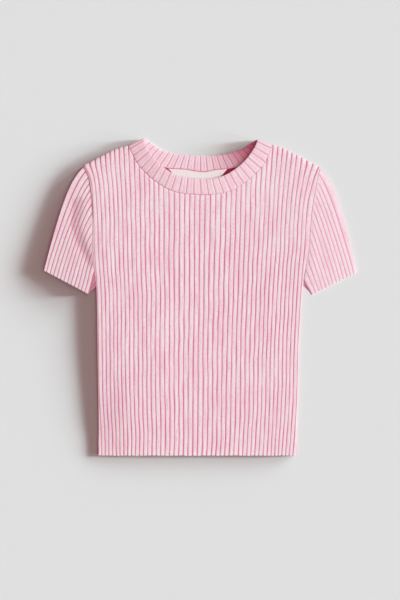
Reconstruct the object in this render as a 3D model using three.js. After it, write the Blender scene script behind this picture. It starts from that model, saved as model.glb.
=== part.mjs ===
// A short-sleeved, rib-knit crop top, laid flat with its front up.
// Millimetres. +X is to the viewer's right, +Y runs from the hem to the neck, +Z is up.
// The origin is on the surface that the garment rests on, under the middle of its outline.
// Heights in the tables are measured up the cloth from the hem, and widths from the middle line.

import * as THREE from 'three';

// Driving sizes of the garment
const LENGTH = 442.8;
const SEAM_GAP = 0.3;
// A curved seam is cut into straight facets, so its two sides start this far apart
const CURVED_GAP = 0.6;

// Thickness of the cloth and height of the layers
const BACK_WALL = 1.8;
const WALL = 1.4;
const RIB_HEIGHT = 0.9;
const FRONT_EDGE_Z = BACK_WALL + SEAM_GAP;
const FRONT_Z = 4.5;
const FOLD_REACH = 4.5;
const FOLD_RIBS = 2;

// The front rises to the neckband over a reach below its seam, and level with it to each side
const NECK_HALF = 101;
const NECK_RISE = 0.8;
const NECK_RISE_REACH = 55;
const NECK_SIDE_REACH = 30;
const NECK_FOLD_EASE = 6;

// Ribs of the front: their number, how much wider the middle ones are, and the form of each
const RIBS = 48;
const MIDDLE_SPREAD = 0.12;
const RIB_FORM = [
  { share: 0, raised: 0 },
  { share: 0.28, raised: 1 },
  { share: 0.72, raised: 1 },
];

// The side folds and, above the armpit, the armhole seams. leftRib and rightRib are the widths that
// the outermost ribs show from above: they lie under the folds along the waist.
const SIDES = [
  { height: 0, left: 142, right: 135, leftRib: 4.2, rightRib: 5.5 },
  { height: 35, left: 142, right: 135.5, leftRib: 3.5, rightRib: 3.1 },
  { height: 80, left: 142, right: 136, leftRib: 0.9, rightRib: 0.9 },
  { height: 147, left: 143, right: 137.5, leftRib: 0.8, rightRib: 0.8 },
  { height: 217, left: 144, right: 141.5, leftRib: 0.8, rightRib: 1.2 },
  { height: 245, left: 145.5, right: 145.5, leftRib: 0.8, rightRib: 3.4 },
  { height: 263, left: 148.5, right: 148.5, leftRib: 2.2, rightRib: 5 },
  { height: 287, left: 150, right: 152.5, leftRib: 2.3, rightRib: 6.6 },
  { height: 326, left: 150.5, right: 155.5, leftRib: 1.8, rightRib: 7.5 },
  { height: 350, left: 151, right: 158, leftRib: 0.9, rightRib: 7.6 },
  { height: 375, left: 153.5, right: 162.5, leftRib: 2.2, rightRib: 6.6 },
  { height: 389, left: 156, right: 165, leftRib: 2, rightRib: 5 },
  { height: 399, left: 160.5, right: 167.5, leftRib: 1.6, rightRib: 3.4 },
  { height: 405, left: 164, right: 169.5, leftRib: 1.4, rightRib: 2.4 },
];
const ARMPIT = 263;
const SIDE_FOLD_END = 251;
const SIDE_FOLD_EASE = 16;

// Above FLARE_FROM the armholes flare, and the rib lines near them lean out with them
const FLARE_FROM = 336;
const FLARE_CLIMB = 79;
const FLARE_MOST = 1.2;
const FLARE_BEND = 1.35;
const FLARE_EDGE_RIBS = 1.5;
const FLARE_REACH_RIBS = 4.4;
const FLARE_ALL_OVER = 0.25;

// Rows of the front's mesh, as shares of each rib's length below the shoulder fold
const FRONT_ROWS = [0, 0.11, 0.22, 0.33, 0.44, 0.55, 0.655, 0.71, 0.77, 0.83, 0.88, 0.93, 0.965, 1];
const SHOULDER_TURNS = [Math.PI / 4, 0];

const LEFT_SHOULDER = [
  { x: -164, height: 404.6 },
  { x: -155.4, height: 408.8 },
  { x: -140, height: 417 },
  { x: -126, height: 424.4 },
  { x: -112, height: 430 },
  { x: -101.4, height: 432.5 },
];
const RIGHT_SHOULDER = [
  { x: 101.8, height: 433.8 },
  { x: 112, height: 430.5 },
  { x: 126, height: 424.4 },
  { x: 140, height: 417.2 },
  { x: 156.8, height: 408 },
  { x: 169.5, height: 401.8 },
];

// The neckband's seam to the front, and its free edge at the front
const FRONT_SEAM = [
  { x: -100.8, height: 432.6 },
  { x: -94.8, height: 421.5 },
  { x: -86.8, height: 406.5 },
  { x: -74.5, height: 393 },
  { x: -59.8, height: 381 },
  { x: -44.8, height: 372 },
  { x: -29.8, height: 367 },
  { x: 0, height: 364.3 },
  { x: 28, height: 365.4 },
  { x: 44.8, height: 370.3 },
  { x: 60.2, height: 379.4 },
  { x: 74.2, height: 390.6 },
  { x: 88.2, height: 406 },
  { x: 95.6, height: 420 },
  { x: 101.2, height: 434 },
];
const FRONT_EDGE = [
  { x: -79.1, height: 443.8 },
  { x: -77.4, height: 436.4 },
  { x: -70, height: 422.4 },
  { x: -57, height: 407.6 },
  { x: -46.6, height: 399 },
  { x: -32.6, height: 391 },
  { x: -14, height: 387.4 },
  { x: 14, height: 386.3 },
  { x: 32.6, height: 390.6 },
  { x: 48.6, height: 399.6 },
  { x: 63.4, height: 412.6 },
  { x: 74.6, height: 428 },
  { x: 78.4, height: 435.4 },
  { x: 80.5, height: 442.4 },
];

// The same two lines at the back, where the band is seen from inside
const BACK_SEAM = [
  { x: -100.8, height: 432.6 },
  { x: -88, height: 419 },
  { x: -70, height: 408 },
  { x: -47.6, height: 401.8 },
  { x: -22, height: 400 },
  { x: 4, height: 396.4 },
  { x: 21, height: 399.4 },
  { x: 44.8, height: 401.8 },
  { x: 70, height: 409 },
  { x: 90, height: 421.5 },
  { x: 101.2, height: 434 },
];
const BACK_SEAM_STEPS = 48;
const BACK_SHOULDER_STEPS = 12;
const BACK_EDGE = [
  { x: -79.1, height: 443.8 },
  { x: -63, height: 433 },
  { x: -49, height: 425.4 },
  { x: -28, height: 420.7 },
  { x: 0, height: 418.6 },
  { x: 28, height: 420 },
  { x: 49, height: 424.6 },
  { x: 63, height: 430.6 },
  { x: 80.5, height: 442.4 },
];

// Soft hollows and swells of the front as it lies: where, how far they reach, how deep
const FRONT_DENTS = [
  { x: -118, height: 40, acrossReach: 30, alongReach: 55, depth: 0.5 },
  { x: 116, height: 150, acrossReach: 11, alongReach: 90, depth: 0.45 },
  { x: -70, height: 150, acrossReach: 26, alongReach: 120, depth: -0.35 },
  { x: 40, height: 95, acrossReach: 34, alongReach: 90, depth: -0.3 },
  { x: -20, height: 255, acrossReach: 40, alongReach: 60, depth: 0.3 },
  { x: 95, height: 300, acrossReach: 24, alongReach: 60, depth: -0.35 },
  { x: -110, height: 300, acrossReach: 18, alongReach: 70, depth: 0.3 },
];

// Sleeves. Each rib line starts a share of the way down the armhole, leaves it at an angle below the
// horizontal and curves down to the cuff, pulled straight by shares of its length at both ends.
// lowEdge is where the layer underneath shows past the fold of the layer on top.
const SLEEVE_RIBS = 13;
const SLEEVE_Z = 4.6;
const ARMHOLE_GAP = 0.6;
const SLEEVE_FOLD_RIBS = 1.6;
const UNDERARM_DROP = 0.35;
const SLEEVE_HOLLOW = 0.2;
const SLEEVE_ROWS = [0, 0.07, 0.16, 0.27, 0.39, 0.51, 0.63, 0.76, 0.88, 1];

// Lines of the sleeve's lower layer, from the underarm to the outer fold: outside, then inside
const LOW_OUTER = [13, 12.8, 12, 11, 10, 9, 7.5, 6, 4.5, 3, 1.7, 0.5];
const LOW_INNER = [12.7, 12.4, 11.7, 11, 10, 9, 7.5, 6, 4.5, 3, 1.8, 0.8];
const TOP_INNER = { from: 0.45, to: 12.5 };
const SLEEVE_STARTS = [
  { rib: 0, share: 0 },
  { rib: 3, share: 0.18 },
  { rib: 6, share: 0.375 },
  { rib: 13, share: 1 },
];
const CUFF_LINES = [
  { rib: 0, angle: 75.5, pull: 0.99 },
  { rib: 3, angle: 74.8, pull: 0.85 },
  { rib: 6, angle: 74, pull: 0.86 },
  { rib: 13, angle: 71, pull: 0.9 },
];
const LEFT_SLEEVE = {
  name: 'sleeve_left',
  side: -1,
  cuffOuter: { x: -219.4, height: 259 },
  cuffInner: { x: -156.2, height: 225.8 },
  armpit: 258,
  lowEdge: 237,
  crease: [
    { x: -172, height: 353 },
    { x: -175, height: 322 },
    { x: -169.5, height: 301 },
    { x: -162.4, height: 287 },
    { x: -154.5, height: 270 },
  ],
  creaseDepth: 1.4,
  creaseReach: 6.5,
  capLines: [
    { rib: 0, angle: 30, pull: 0.54 },
    { rib: 2, angle: 42.5, pull: 0.42 },
    { rib: 5, angle: 46, pull: 0.47 },
    { rib: 7, angle: 50, pull: 0.58 },
    { rib: 9, angle: 56, pull: 0.75 },
    { rib: 13, angle: 75, pull: 0.8 },
  ],
};
const RIGHT_SLEEVE = {
  name: 'sleeve_right',
  side: 1,
  cuffOuter: { x: 219.8, height: 256.2 },
  cuffInner: { x: 156.1, height: 224.8 },
  armpit: 246,
  lowEdge: 236,
  crease: [
    { x: 163, height: 322 },
    { x: 168, height: 290 },
    { x: 172, height: 266 },
  ],
  creaseDepth: 0.35,
  creaseReach: 7,
  capLines: [
    { rib: 0, angle: 30, pull: 0.54 },
    { rib: 2, angle: 56, pull: 0.42 },
    { rib: 6, angle: 62, pull: 0.38 },
    { rib: 9, angle: 70, pull: 0.43 },
    { rib: 13, angle: 80, pull: 0.5 },
  ],
};

// Neckband: a folded ring of rib, its front half on top and its back half under it
const BAND_FRONT_RIBS = 26;
const BAND_BACK_RIBS = 24;
const BAND_THICK = 3;
const BAND_HALVES_GAP = 0.4;
const BAND_RIB_HEIGHT = 0.7;
const BAND_BACK_Z = BAND_THICK / 2;
const BAND_SHOULDER_Z = BAND_BACK_Z + BAND_THICK + BAND_HALVES_GAP;
const BAND_SEAM_LIFT = 0.7;
const BAND_EDGE_LIFT = 1.4;
const BAND_TURN_RIBS = 1;
const BAND_ACROSS = [0, 0.3, 0.65, 0.93];

// Neck label: a bare strip, narrower at its lower edge
const LABEL_THICK = 1;
const LABEL_LEFT = -45;
const LABEL_RIGHT = 38;
const LABEL_DEEP = 18;
const LABEL_SLANT = 0.8;
const LABEL_COLUMNS = 12;

const COLOURS = {
  rib: 0xe8c1cd,
  sleeve: 0xe9c3ce,
  band: 0xe7bccb,
  label: 0xefe8e4,
};

const radians = (degrees) => (degrees * Math.PI) / 180;
const toY = (height) => height - LENGTH / 2;
const smooth = (share) => {
  const s = Math.min(Math.max(share, 0), 1);
  return s * s * (3 - 2 * s);
};

/** One column of a table at a place along another, on a smooth curve through its rows. */
function along(table, key, at, column) {
  const last = table.length - 1;
  if (at <= table[0][key]) return table[0][column];
  if (at >= table[last][key]) return table[last][column];
  const n = table.findIndex((row) => row[key] > at) - 1;
  const slope = (i) => {
    const before = table[Math.max(i - 1, 0)];
    const after = table[Math.min(i + 1, last)];
    return (after[column] - before[column]) / (after[key] - before[key]);
  };
  const span = table[n + 1][key] - table[n][key];
  const t = (at - table[n][key]) / span;
  const start = table[n][column];
  const end = table[n + 1][column];
  return (
    (2 * t ** 3 - 3 * t ** 2 + 1) * start +
    (t ** 3 - 2 * t ** 2 + t) * span * slope(n) +
    (3 * t ** 2 - 2 * t ** 3) * end +
    (t ** 3 - t ** 2) * span * slope(n + 1)
  );
}

/** Points of a line of the tables, from its left end to its right end. */
function drawn(table, steps = 240) {
  const from = table[0].x;
  const to = table[table.length - 1].x;
  return Array.from({ length: steps + 1 }, (_, i) => {
    const x = from + ((to - from) * i) / steps;
    return new THREE.Vector2(x, along(table, 'x', x, 'height'));
  });
}

/** The point a share of the way along a line of points. */
function pointAt(line, share) {
  const lengths = line.slice(1).map((point, i) => point.distanceTo(line[i]));
  let left = lengths.reduce((sum, length) => sum + length, 0) * Math.min(Math.max(share, 0), 1);
  let i = 0;
  while (i < lengths.length - 1 && left > lengths[i]) {
    left -= lengths[i];
    i += 1;
  }
  return line[i].clone().lerp(line[i + 1], Math.min(left / lengths[i], 1));
}

/** How far a point is from a line of points. */
function distanceTo(line, point) {
  let nearest = Infinity;
  for (let i = 0; i < line.length - 1; i += 1) {
    const step = line[i + 1].clone().sub(line[i]);
    const share = point.clone().sub(line[i]).dot(step) / step.lengthSq();
    const foot = line[i].clone().addScaledVector(step, Math.min(Math.max(share, 0), 1));
    nearest = Math.min(nearest, foot.distanceTo(point));
  }
  return nearest;
}

function clothMesh(name, geometry, colour) {
  const material = new THREE.MeshStandardMaterial({ color: colour, roughness: 0.92, metalness: 0 });
  const mesh = new THREE.Mesh(geometry, material);
  mesh.name = name;
  return mesh;
}

/** Collects points and triangles of one closed body. */
class Body {
  constructor() {
    this.points = [];
    this.triangles = [];
  }

  add(point) {
    this.points.push(point);
    return this.points.length - 1;
  }

  /** Adds a grid of points, as rows of numbers. */
  grid(rows) {
    return rows.map((row) => row.map((point) => this.add(point)));
  }

  /** Faces of a grid. closed joins the last column to the first, flip turns the faces over. */
  skin(grid, { closed = false, flip = false } = {}) {
    for (let r = 0; r < grid.length - 1; r += 1) {
      const width = grid[r].length;
      for (let c = 0; c < (closed ? width : width - 1); c += 1) {
        const next = (c + 1) % width;
        this.quad(grid[r][c], grid[r][next], grid[r + 1][next], grid[r + 1][c], flip);
      }
    }
  }

  quad(a, b, c, d, flip = false) {
    this.triangles.push(...(flip ? [a, c, b, a, d, c] : [a, b, c, a, c, d]));
  }

  /** A wall between an outer and an inner grid of one size. closed makes it a tube. */
  wall(outer, inner, { closed = false, flip = false } = {}) {
    const last = outer.length - 1;
    this.skin(outer, { closed, flip });
    this.skin(inner, { closed, flip: !flip });
    this.skin([inner[0], outer[0]], { closed, flip });
    this.skin([outer[last], inner[last]], { closed, flip });
    if (closed) return;
    const column = (grid, c) => grid.map((row) => row[c]);
    const end = outer[0].length - 1;
    this.skin([column(outer, 0), column(inner, 0)], { flip });
    this.skin([column(inner, end), column(outer, end)], { flip });
  }

  mesh(name, colour) {
    const geometry = new THREE.BufferGeometry();
    const positions = this.points.flatMap((point) => [point.x, point.y, point.z]);
    geometry.setAttribute('position', new THREE.Float32BufferAttribute(positions, 3));
    geometry.setIndex(this.triangles);
    geometry.computeVertexNormals();
    return clothMesh(name, geometry, colour);
  }
}

/** Places of the mesh columns across a number of ribs, with how far each is raised. */
function ribColumns(ribs) {
  const columns = [];
  for (let rib = 0; rib < ribs; rib += 1) {
    RIB_FORM.forEach(({ share, raised }) => columns.push({ place: rib + share, raised }));
  }
  return [...columns, { place: ribs, raised: 0 }];
}

/** A point of a smooth surface and its outward normal, by small steps in both directions. */
function pointAndNormal(surface, line, row) {
  const step = 0.01;
  const point = surface(line, row);
  const acrossStep = surface(line + step, row).sub(surface(line - step, row));
  const alongStep = surface(line, row + step).sub(surface(line, row - step));
  const normal = acrossStep.cross(alongStep).normalize();
  if (normal.z < 0) normal.negate();
  return { point, normal };
}

const sideX = (side, height) => side * along(SIDES, 'height', height, side < 0 ? 'left' : 'right');

/** Where the outermost groove of a side is at a height. */
function outerLine(side, height) {
  const inset = along(SIDES, 'height', height, side < 0 ? 'leftRib' : 'rightRib');
  return sideX(side, height) - side * inset;
}

/** How far an armhole's flare moves a rib line that is a share of the panel away from it. */
function flare(side, height, away) {
  const trunk = outerLine(side, Math.min(height, FLARE_FROM));
  const atEdge = outerLine(side, height) - trunk;
  const full = outerLine(side, LENGTH) - outerLine(side, FLARE_FROM);
  const climb = Math.min(Math.max((height - FLARE_FROM) / FLARE_CLIMB, 0), FLARE_MOST) ** FLARE_BEND;
  const ribsAway = (RIBS - 2) * away;
  const edge = Math.exp(-ribsAway / FLARE_EDGE_RIBS);
  const near = (1 - FLARE_ALL_OVER) * Math.exp(-ribsAway / FLARE_REACH_RIBS) + FLARE_ALL_OVER;
  return (atEdge * edge + full * climb * (near - edge)) * (1 - away);
}

/** Where a rib line of the front is at a height. Line 0 is the left edge and RIBS is the right edge. */
function ribX(line, height) {
  const left = sideX(-1, height);
  const right = sideX(1, height);
  if (line < 1) return left + (outerLine(-1, height) - left) * line;
  if (line > RIBS - 1) return right + (outerLine(1, height) - right) * (RIBS - line);
  const share = (line - 1) / (RIBS - 2);
  const spread = (MIDDLE_SPREAD / (2 * Math.PI)) * Math.sin(2 * Math.PI * share);
  const from = outerLine(-1, Math.min(height, FLARE_FROM));
  const to = outerLine(1, Math.min(height, FLARE_FROM));
  const between = from + (to - from) * (share - spread);
  return between + flare(-1, height, share) + flare(1, height, 1 - share);
}

/** Height of the front's top edge above a place: shoulder, neckband seam, shoulder. */
function topHeight(x) {
  if (x < FRONT_SEAM[0].x) return along(LEFT_SHOULDER, 'x', x, 'height');
  if (x > FRONT_SEAM[FRONT_SEAM.length - 1].x) return along(RIGHT_SHOULDER, 'x', x, 'height');
  const step = 0.5;
  const rise = along(FRONT_SEAM, 'x', x + step, 'height') - along(FRONT_SEAM, 'x', x - step, 'height');
  return along(FRONT_SEAM, 'x', x, 'height') - CURVED_GAP * Math.hypot(1, rise / (2 * step));
}

/** Height of the top end of a rib line. */
function lineTop(line) {
  let height = ARMPIT;
  for (let i = 0; i < 12; i += 1) height = topHeight(ribX(line, height));
  return height;
}

/** Height up a rib line for a row: 0 to 1 up to the shoulder fold, then 1 to 2 round the fold. */
function rowHeight(top, row) {
  if (row <= 1) return (top - FOLD_REACH) * row;
  const turn = (Math.PI / 2) * (2 - row);
  return top - FOLD_REACH * (1 - Math.cos(turn));
}

/** How far the front stands off the surface, before its edges turn down. */
function frontRise(x, height, top) {
  const nearSeam = smooth(1 - (top - height) / NECK_RISE_REACH);
  const betweenShoulders = smooth((NECK_HALF + NECK_FOLD_EASE - Math.abs(x)) / NECK_SIDE_REACH);
  let z = FRONT_Z + NECK_RISE * nearSeam * betweenShoulders;
  for (const dent of FRONT_DENTS) {
    const across = (x - dent.x) / dent.acrossReach;
    const up = (height - dent.height) / dent.alongReach;
    z -= dent.depth * Math.exp(-across * across - up * up);
  }
  return z;
}

/** The front's smooth surface, at the foot of its grooves. */
function frontSurface(line, row) {
  const top = lineTop(line);
  const height = rowHeight(top, Math.min(row, 2));
  const x = ribX(line, height);
  const fromSide = Math.min(line, RIBS - line) / FOLD_RIBS;
  const sideTurn = 1 - Math.sin((Math.PI / 2) * Math.min(Math.max(fromSide, 0), 1));
  const folded = 1 - smooth((height - SIDE_FOLD_END) / SIDE_FOLD_EASE);
  const atNeck = smooth((NECK_HALF + NECK_FOLD_EASE - Math.abs(x)) / NECK_FOLD_EASE);
  const turnedOver = 1 - Math.sin((Math.PI / 2) * Math.min(Math.max(2 - row, 0), 1));
  const share = (1 - folded * sideTurn) * (1 - (1 - atNeck) * turnedOver);
  const z = FRONT_EDGE_Z + (frontRise(x, height, top) - FRONT_EDGE_Z) * share;
  return new THREE.Vector3(x, toY(height), z);
}

/** Rows of the front: shares up to the shoulder fold, then turns round it. */
const frontRows = [...FRONT_ROWS, ...SHOULDER_TURNS.map((turn) => 2 - turn / (Math.PI / 2))];

function frontPanel() {
  const body = new Body();
  const columns = ribColumns(RIBS);
  const outer = frontRows.map((row) => columns.map(({ place, raised }) => {
    const { point, normal } = pointAndNormal(frontSurface, place, row);
    return point.addScaledVector(normal, RIB_HEIGHT * raised);
  }));
  const inner = frontRows.map((row) => columns.map(({ place }) => {
    const { point, normal } = pointAndNormal(frontSurface, place, row);
    point.addScaledVector(normal, -WALL);
    point.z = Math.max(point.z, FRONT_EDGE_Z);
    return point;
  }));
  body.wall(body.grid(outer), body.grid(inner));
  return body.mesh('front_panel', COLOURS.rib);
}

/** The panels' side line from the shoulder down to the hem, which front, back and sleeve share. */
function sideLine(side) {
  const line = side < 0 ? 0 : RIBS;
  const top = lineTop(line);
  const points = frontRows.map((row) => {
    const height = rowHeight(top, row);
    return new THREE.Vector2(ribX(line, height), height);
  });
  return points.reverse();
}

/** The side line from the shoulder down to a height. */
function sideLineTo(side, height) {
  const line = sideLine(side);
  const kept = line.filter((point) => point.y > height);
  const [above, below] = [kept[kept.length - 1], line[kept.length]];
  const share = (above.y - height) / (above.y - below.y);
  return [...kept, above.clone().lerp(below, share)];
}

/** A line of points moved down from itself, square to its run. */
function below(line, gap) {
  return line.map((point, i) => {
    const before = line[Math.max(i - 1, 0)];
    const after = line[Math.min(i + 1, line.length - 1)];
    const way = after.clone().sub(before).normalize();
    return new THREE.Vector2(point.x + way.y * gap, point.y - way.x * gap);
  });
}

/** The back lies under everything as a flat wall with the front's outline and its own neck seam. */
function backPanel() {
  const outline = [
    ...sideLine(-1),
    ...sideLine(1).reverse(),
    ...drawn(RIGHT_SHOULDER, BACK_SHOULDER_STEPS).reverse().slice(1),
    ...below(drawn(BACK_SEAM, BACK_SEAM_STEPS), CURVED_GAP).reverse().slice(1, -1),
    ...drawn(LEFT_SHOULDER, BACK_SHOULDER_STEPS).reverse().slice(0, -1),
  ].map((point) => new THREE.Vector2(point.x, toY(point.y)));
  const shape = new THREE.Shape(outline);
  const geometry = new THREE.ExtrudeGeometry(shape, { depth: BACK_WALL, bevelEnabled: false });
  return clothMesh('back_panel', geometry, COLOURS.rib);
}

/** A point a share of the way along a curve with a start, an end and a direction at each. */
function curved(start, startWay, end, endWay, share) {
  const t = share;
  return new THREE.Vector2()
    .addScaledVector(start, 2 * t ** 3 - 3 * t ** 2 + 1)
    .addScaledVector(startWay, t ** 3 - 2 * t ** 2 + t)
    .addScaledVector(end, 3 * t ** 2 - 2 * t ** 3)
    .addScaledVector(endWay, t ** 3 - t ** 2);
}

/** Measures of one sleeve: its lines, and how high its top layer stands. */
class Sleeve {
  constructor(sizes) {
    Object.assign(this, sizes);
    this.topArmhole = sideLineTo(this.side, this.armpit);
    this.lowArmhole = sideLineTo(this.side, this.lowEdge);
    this.cuffStart = new THREE.Vector2(this.cuffOuter.x, this.cuffOuter.height);
    this.cuffEnd = new THREE.Vector2(this.cuffInner.x, this.cuffInner.height);
    this.creaseLine = this.crease.map(({ x, height }) => new THREE.Vector2(x, height));
  }

  /** Where a rib line is, a share of the way from the armhole to the cuff. */
  place(line, share, armhole) {
    const across = line / SLEEVE_RIBS;
    const start = pointAt(armhole, along(SLEEVE_STARTS, 'rib', line, 'share'));
    start.x += this.side * ARMHOLE_GAP;
    const end = this.cuffStart.clone().lerp(this.cuffEnd, across);
    const long = start.distanceTo(end);
    const way = (angle, pull) => new THREE.Vector2(
      this.side * Math.cos(radians(angle)) * pull * long,
      -Math.sin(radians(angle)) * pull * long,
    );
    const wayBy = (table) => way(along(table, 'rib', line, 'angle'), along(table, 'rib', line, 'pull'));
    const startWay = wayBy(this.capLines);
    const endWay = wayBy(CUFF_LINES);
    return curved(start, startWay, end, endWay, share);
  }

  /** Height of the top layer over a place, with its soft crease. */
  rise(point) {
    const away = distanceTo(this.creaseLine, point) / this.creaseReach;
    return SLEEVE_Z - this.creaseDepth * Math.exp(-away * away);
  }

  /** The top layer's smooth surface, turned down at the outer fold and at the underarm. */
  surface(line, share) {
    const at = this.place(line, share, this.topArmhole);
    const turn = (ribs) => Math.sin((Math.PI / 2) * Math.min(Math.max(ribs, 0), 1));
    const kept = turn(line / SLEEVE_FOLD_RIBS);
    const dropped = UNDERARM_DROP * smooth(line - SLEEVE_RIBS + 1);
    const middle = SLEEVE_Z / 2;
    const z = middle + (this.rise(at) - middle) * kept * (1 - dropped);
    return new THREE.Vector3(at.x, toY(at.y), z);
  }

  /** A point of the layer underneath, which reaches further down the side than the top layer. */
  lowPoint(line, share, z) {
    const at = this.place(line, share, this.lowArmhole);
    return new THREE.Vector3(at.x, toY(at.y), z);
  }
}

/** A flattened tube: each row is a ring over the top layer and back under it. */
function sleeve(sizes) {
  const shape = new Sleeve(sizes);
  const surface = (line, share) => shape.surface(line, share);
  const columns = ribColumns(SLEEVE_RIBS);
  const outerRow = (share) => {
    const top = columns.map(({ place, raised }) => {
      const { point, normal } = pointAndNormal(surface, place, share);
      return point.addScaledVector(normal, RIB_HEIGHT * raised);
    });
    const low = LOW_OUTER.map((line) => (
      shape.lowPoint(line, share, line === SLEEVE_RIBS ? BACK_WALL / 2 : 0)
    ));
    return [...top, ...low];
  };
  const innerRow = (share) => {
    const top = columns.map(({ place }) => {
      const inset = TOP_INNER.from + ((TOP_INNER.to - TOP_INNER.from) * place) / SLEEVE_RIBS;
      const point = surface(inset, share);
      point.z = Math.max(point.z - WALL, BACK_WALL + SLEEVE_HOLLOW);
      return point;
    });
    return [...top, ...LOW_INNER.map((line) => shape.lowPoint(line, share, BACK_WALL))];
  };
  const body = new Body();
  const outer = body.grid(SLEEVE_ROWS.map(outerRow));
  const inner = body.grid(SLEEVE_ROWS.map(innerRow));
  body.wall(outer, inner, { closed: true, flip: shape.side < 0 });
  return body.mesh(shape.name, COLOURS.sleeve);
}

/** Where a place on the neckband's ring is: its half, and its distance from the nearer shoulder. */
function bandPlace(rib) {
  const front = rib < BAND_FRONT_RIBS;
  const ribs = front ? BAND_FRONT_RIBS : BAND_BACK_RIBS;
  const fromLeft = front ? rib : BAND_FRONT_RIBS + BAND_BACK_RIBS - rib;
  const fromShoulder = Math.min(fromLeft, ribs - fromLeft);
  const turn = Math.min(fromShoulder / BAND_TURN_RIBS, 1);
  const eased = fromShoulder < BAND_TURN_RIBS
    ? fromShoulder ** 2 / (2 * BAND_TURN_RIBS)
    : fromShoulder - BAND_TURN_RIBS / 2;
  const half = eased / (ribs - BAND_TURN_RIBS);
  const share = fromLeft < ribs / 2 ? half : 1 - half;
  return { front, turn, share, side: fromLeft < ribs / 2 ? -1 : 1 };
}

/** The way out of the fold at a shoulder, square to the band there. */
function foldOutward(seam, edge, side) {
  const end = side < 0 ? 0 : 1;
  const inward = pointAt(edge, end).sub(pointAt(seam, end));
  return new THREE.Vector2(inward.y, -inward.x).normalize().multiplyScalar(side);
}

/** One section of the neckband: a closed row of points round its thickness. */
function bandSection({ place, raised }, seams, edges) {
  const { front, turn, share, side } = bandPlace(place);
  const half = front ? 'front' : 'back';
  const seam = pointAt(seams[half], share);
  const edge = pointAt(edges[half], share);
  const outward = foldOutward(seams.front, edges.front, side);
  const tilt = (Math.PI / 2) * turn * (front ? 1 : -1);
  const sideways = Math.cos(tilt);
  const normal = new THREE.Vector3(outward.x * sideways, outward.y * sideways, Math.sin(tilt));
  const arch = Math.sin(Math.PI * share);
  const foldZ = (BAND_SHOULDER_Z + BAND_BACK_Z) / 2;
  const middle = (across) => {
    const lift = BAND_SEAM_LIFT + (BAND_EDGE_LIFT - BAND_SEAM_LIFT) * across;
    const farZ = front ? BAND_SHOULDER_Z + arch * lift : BAND_BACK_Z;
    const at = seam.clone().lerp(edge, across);
    at.addScaledVector(outward, (-BAND_THICK / 2) * sideways);
    return new THREE.Vector3(at.x, toY(at.y), foldZ + (farZ - foldZ) * Math.abs(Math.sin(tilt)));
  };
  const groove = BAND_RIB_HEIGHT * (1 - raised);
  const outside = BAND_THICK / 2 - groove * (front ? 1 : 1 - turn);
  const inside = BAND_THICK / 2 - groove * (front ? 0 : turn);
  const face = (across, out) => middle(across).addScaledVector(normal, out);
  return [
    ...BAND_ACROSS.map((across) => face(across, outside)),
    middle(1),
    ...[...BAND_ACROSS].reverse().map((across) => face(across, -inside)),
  ];
}

function neckband() {
  const seams = { front: drawn(FRONT_SEAM), back: drawn(BACK_SEAM) };
  const edges = { front: drawn(FRONT_EDGE), back: drawn(BACK_EDGE) };
  const columns = ribColumns(BAND_FRONT_RIBS + BAND_BACK_RIBS).slice(0, -1);
  const body = new Body();
  const sections = body.grid(columns.map((column) => bandSection(column, seams, edges)));
  body.skin([...sections, sections[0]], { closed: true, flip: true });
  return body.mesh('neckband', COLOURS.band);
}

/** A bare strip on the back panel, under the band, its ends slanting in towards its lower edge. */
function neckLabel() {
  const body = new Body();
  const bottom = BACK_WALL + SEAM_GAP;
  const rows = [0, 1].map((down) => Array.from({ length: LABEL_COLUMNS + 1 }, (_, i) => {
    const x = LABEL_LEFT + ((LABEL_RIGHT - LABEL_LEFT) * i) / LABEL_COLUMNS;
    const middle = (LABEL_LEFT + LABEL_RIGHT) / 2;
    const narrowed = 1 - (down * LABEL_SLANT * LABEL_DEEP) / ((LABEL_RIGHT - LABEL_LEFT) / 2);
    const height = along(BACK_SEAM, 'x', x, 'height') - CURVED_GAP - down * LABEL_DEEP;
    return { x: middle + (x - middle) * narrowed, y: toY(height) };
  }));
  const layer = (z) => body.grid(rows.map((row) => row.map(({ x, y }) => new THREE.Vector3(x, y, z))));
  const low = layer(bottom);
  const high = layer(bottom + LABEL_THICK);
  body.skin(high, { flip: true });
  body.skin(low);
  const edge = ([top, under]) => [...top, ...[...under].reverse()];
  const ring = [edge(low), edge(high)];
  body.skin(ring, { closed: true, flip: true });
  return body.mesh('neck_label', COLOURS.label);
}

const garment = new THREE.Group();
garment.add(
  frontPanel(),
  backPanel(),
  sleeve(LEFT_SLEEVE),
  sleeve(RIGHT_SLEEVE),
  neckband(),
  neckLabel(),
);

export default garment;
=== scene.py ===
"""A short-sleeved, rib-knit crop top, laid flat with its front up.

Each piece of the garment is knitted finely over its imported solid, on the same lines. Lines, tables and
sizes are in millimetres, with heights measured up the cloth from the hem, and meshes are in metres.
"""

import logging
import math
from dataclasses import dataclass
from enum import Enum
from typing import Iterable, Sequence

import bpy
import numpy as np
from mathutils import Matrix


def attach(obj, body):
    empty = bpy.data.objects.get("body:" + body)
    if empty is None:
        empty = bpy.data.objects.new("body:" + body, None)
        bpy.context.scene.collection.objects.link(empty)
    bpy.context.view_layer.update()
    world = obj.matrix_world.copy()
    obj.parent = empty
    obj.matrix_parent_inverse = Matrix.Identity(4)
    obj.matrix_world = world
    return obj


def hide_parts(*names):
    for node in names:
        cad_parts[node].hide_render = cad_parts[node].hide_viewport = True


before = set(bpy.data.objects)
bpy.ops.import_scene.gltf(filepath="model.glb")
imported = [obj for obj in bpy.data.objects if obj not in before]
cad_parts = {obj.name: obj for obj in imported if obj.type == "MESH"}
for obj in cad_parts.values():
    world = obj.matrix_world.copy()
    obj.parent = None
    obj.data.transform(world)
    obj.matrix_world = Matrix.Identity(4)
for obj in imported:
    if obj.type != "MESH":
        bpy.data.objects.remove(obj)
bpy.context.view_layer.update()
BODY = "root"
MM = 0.001
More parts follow.
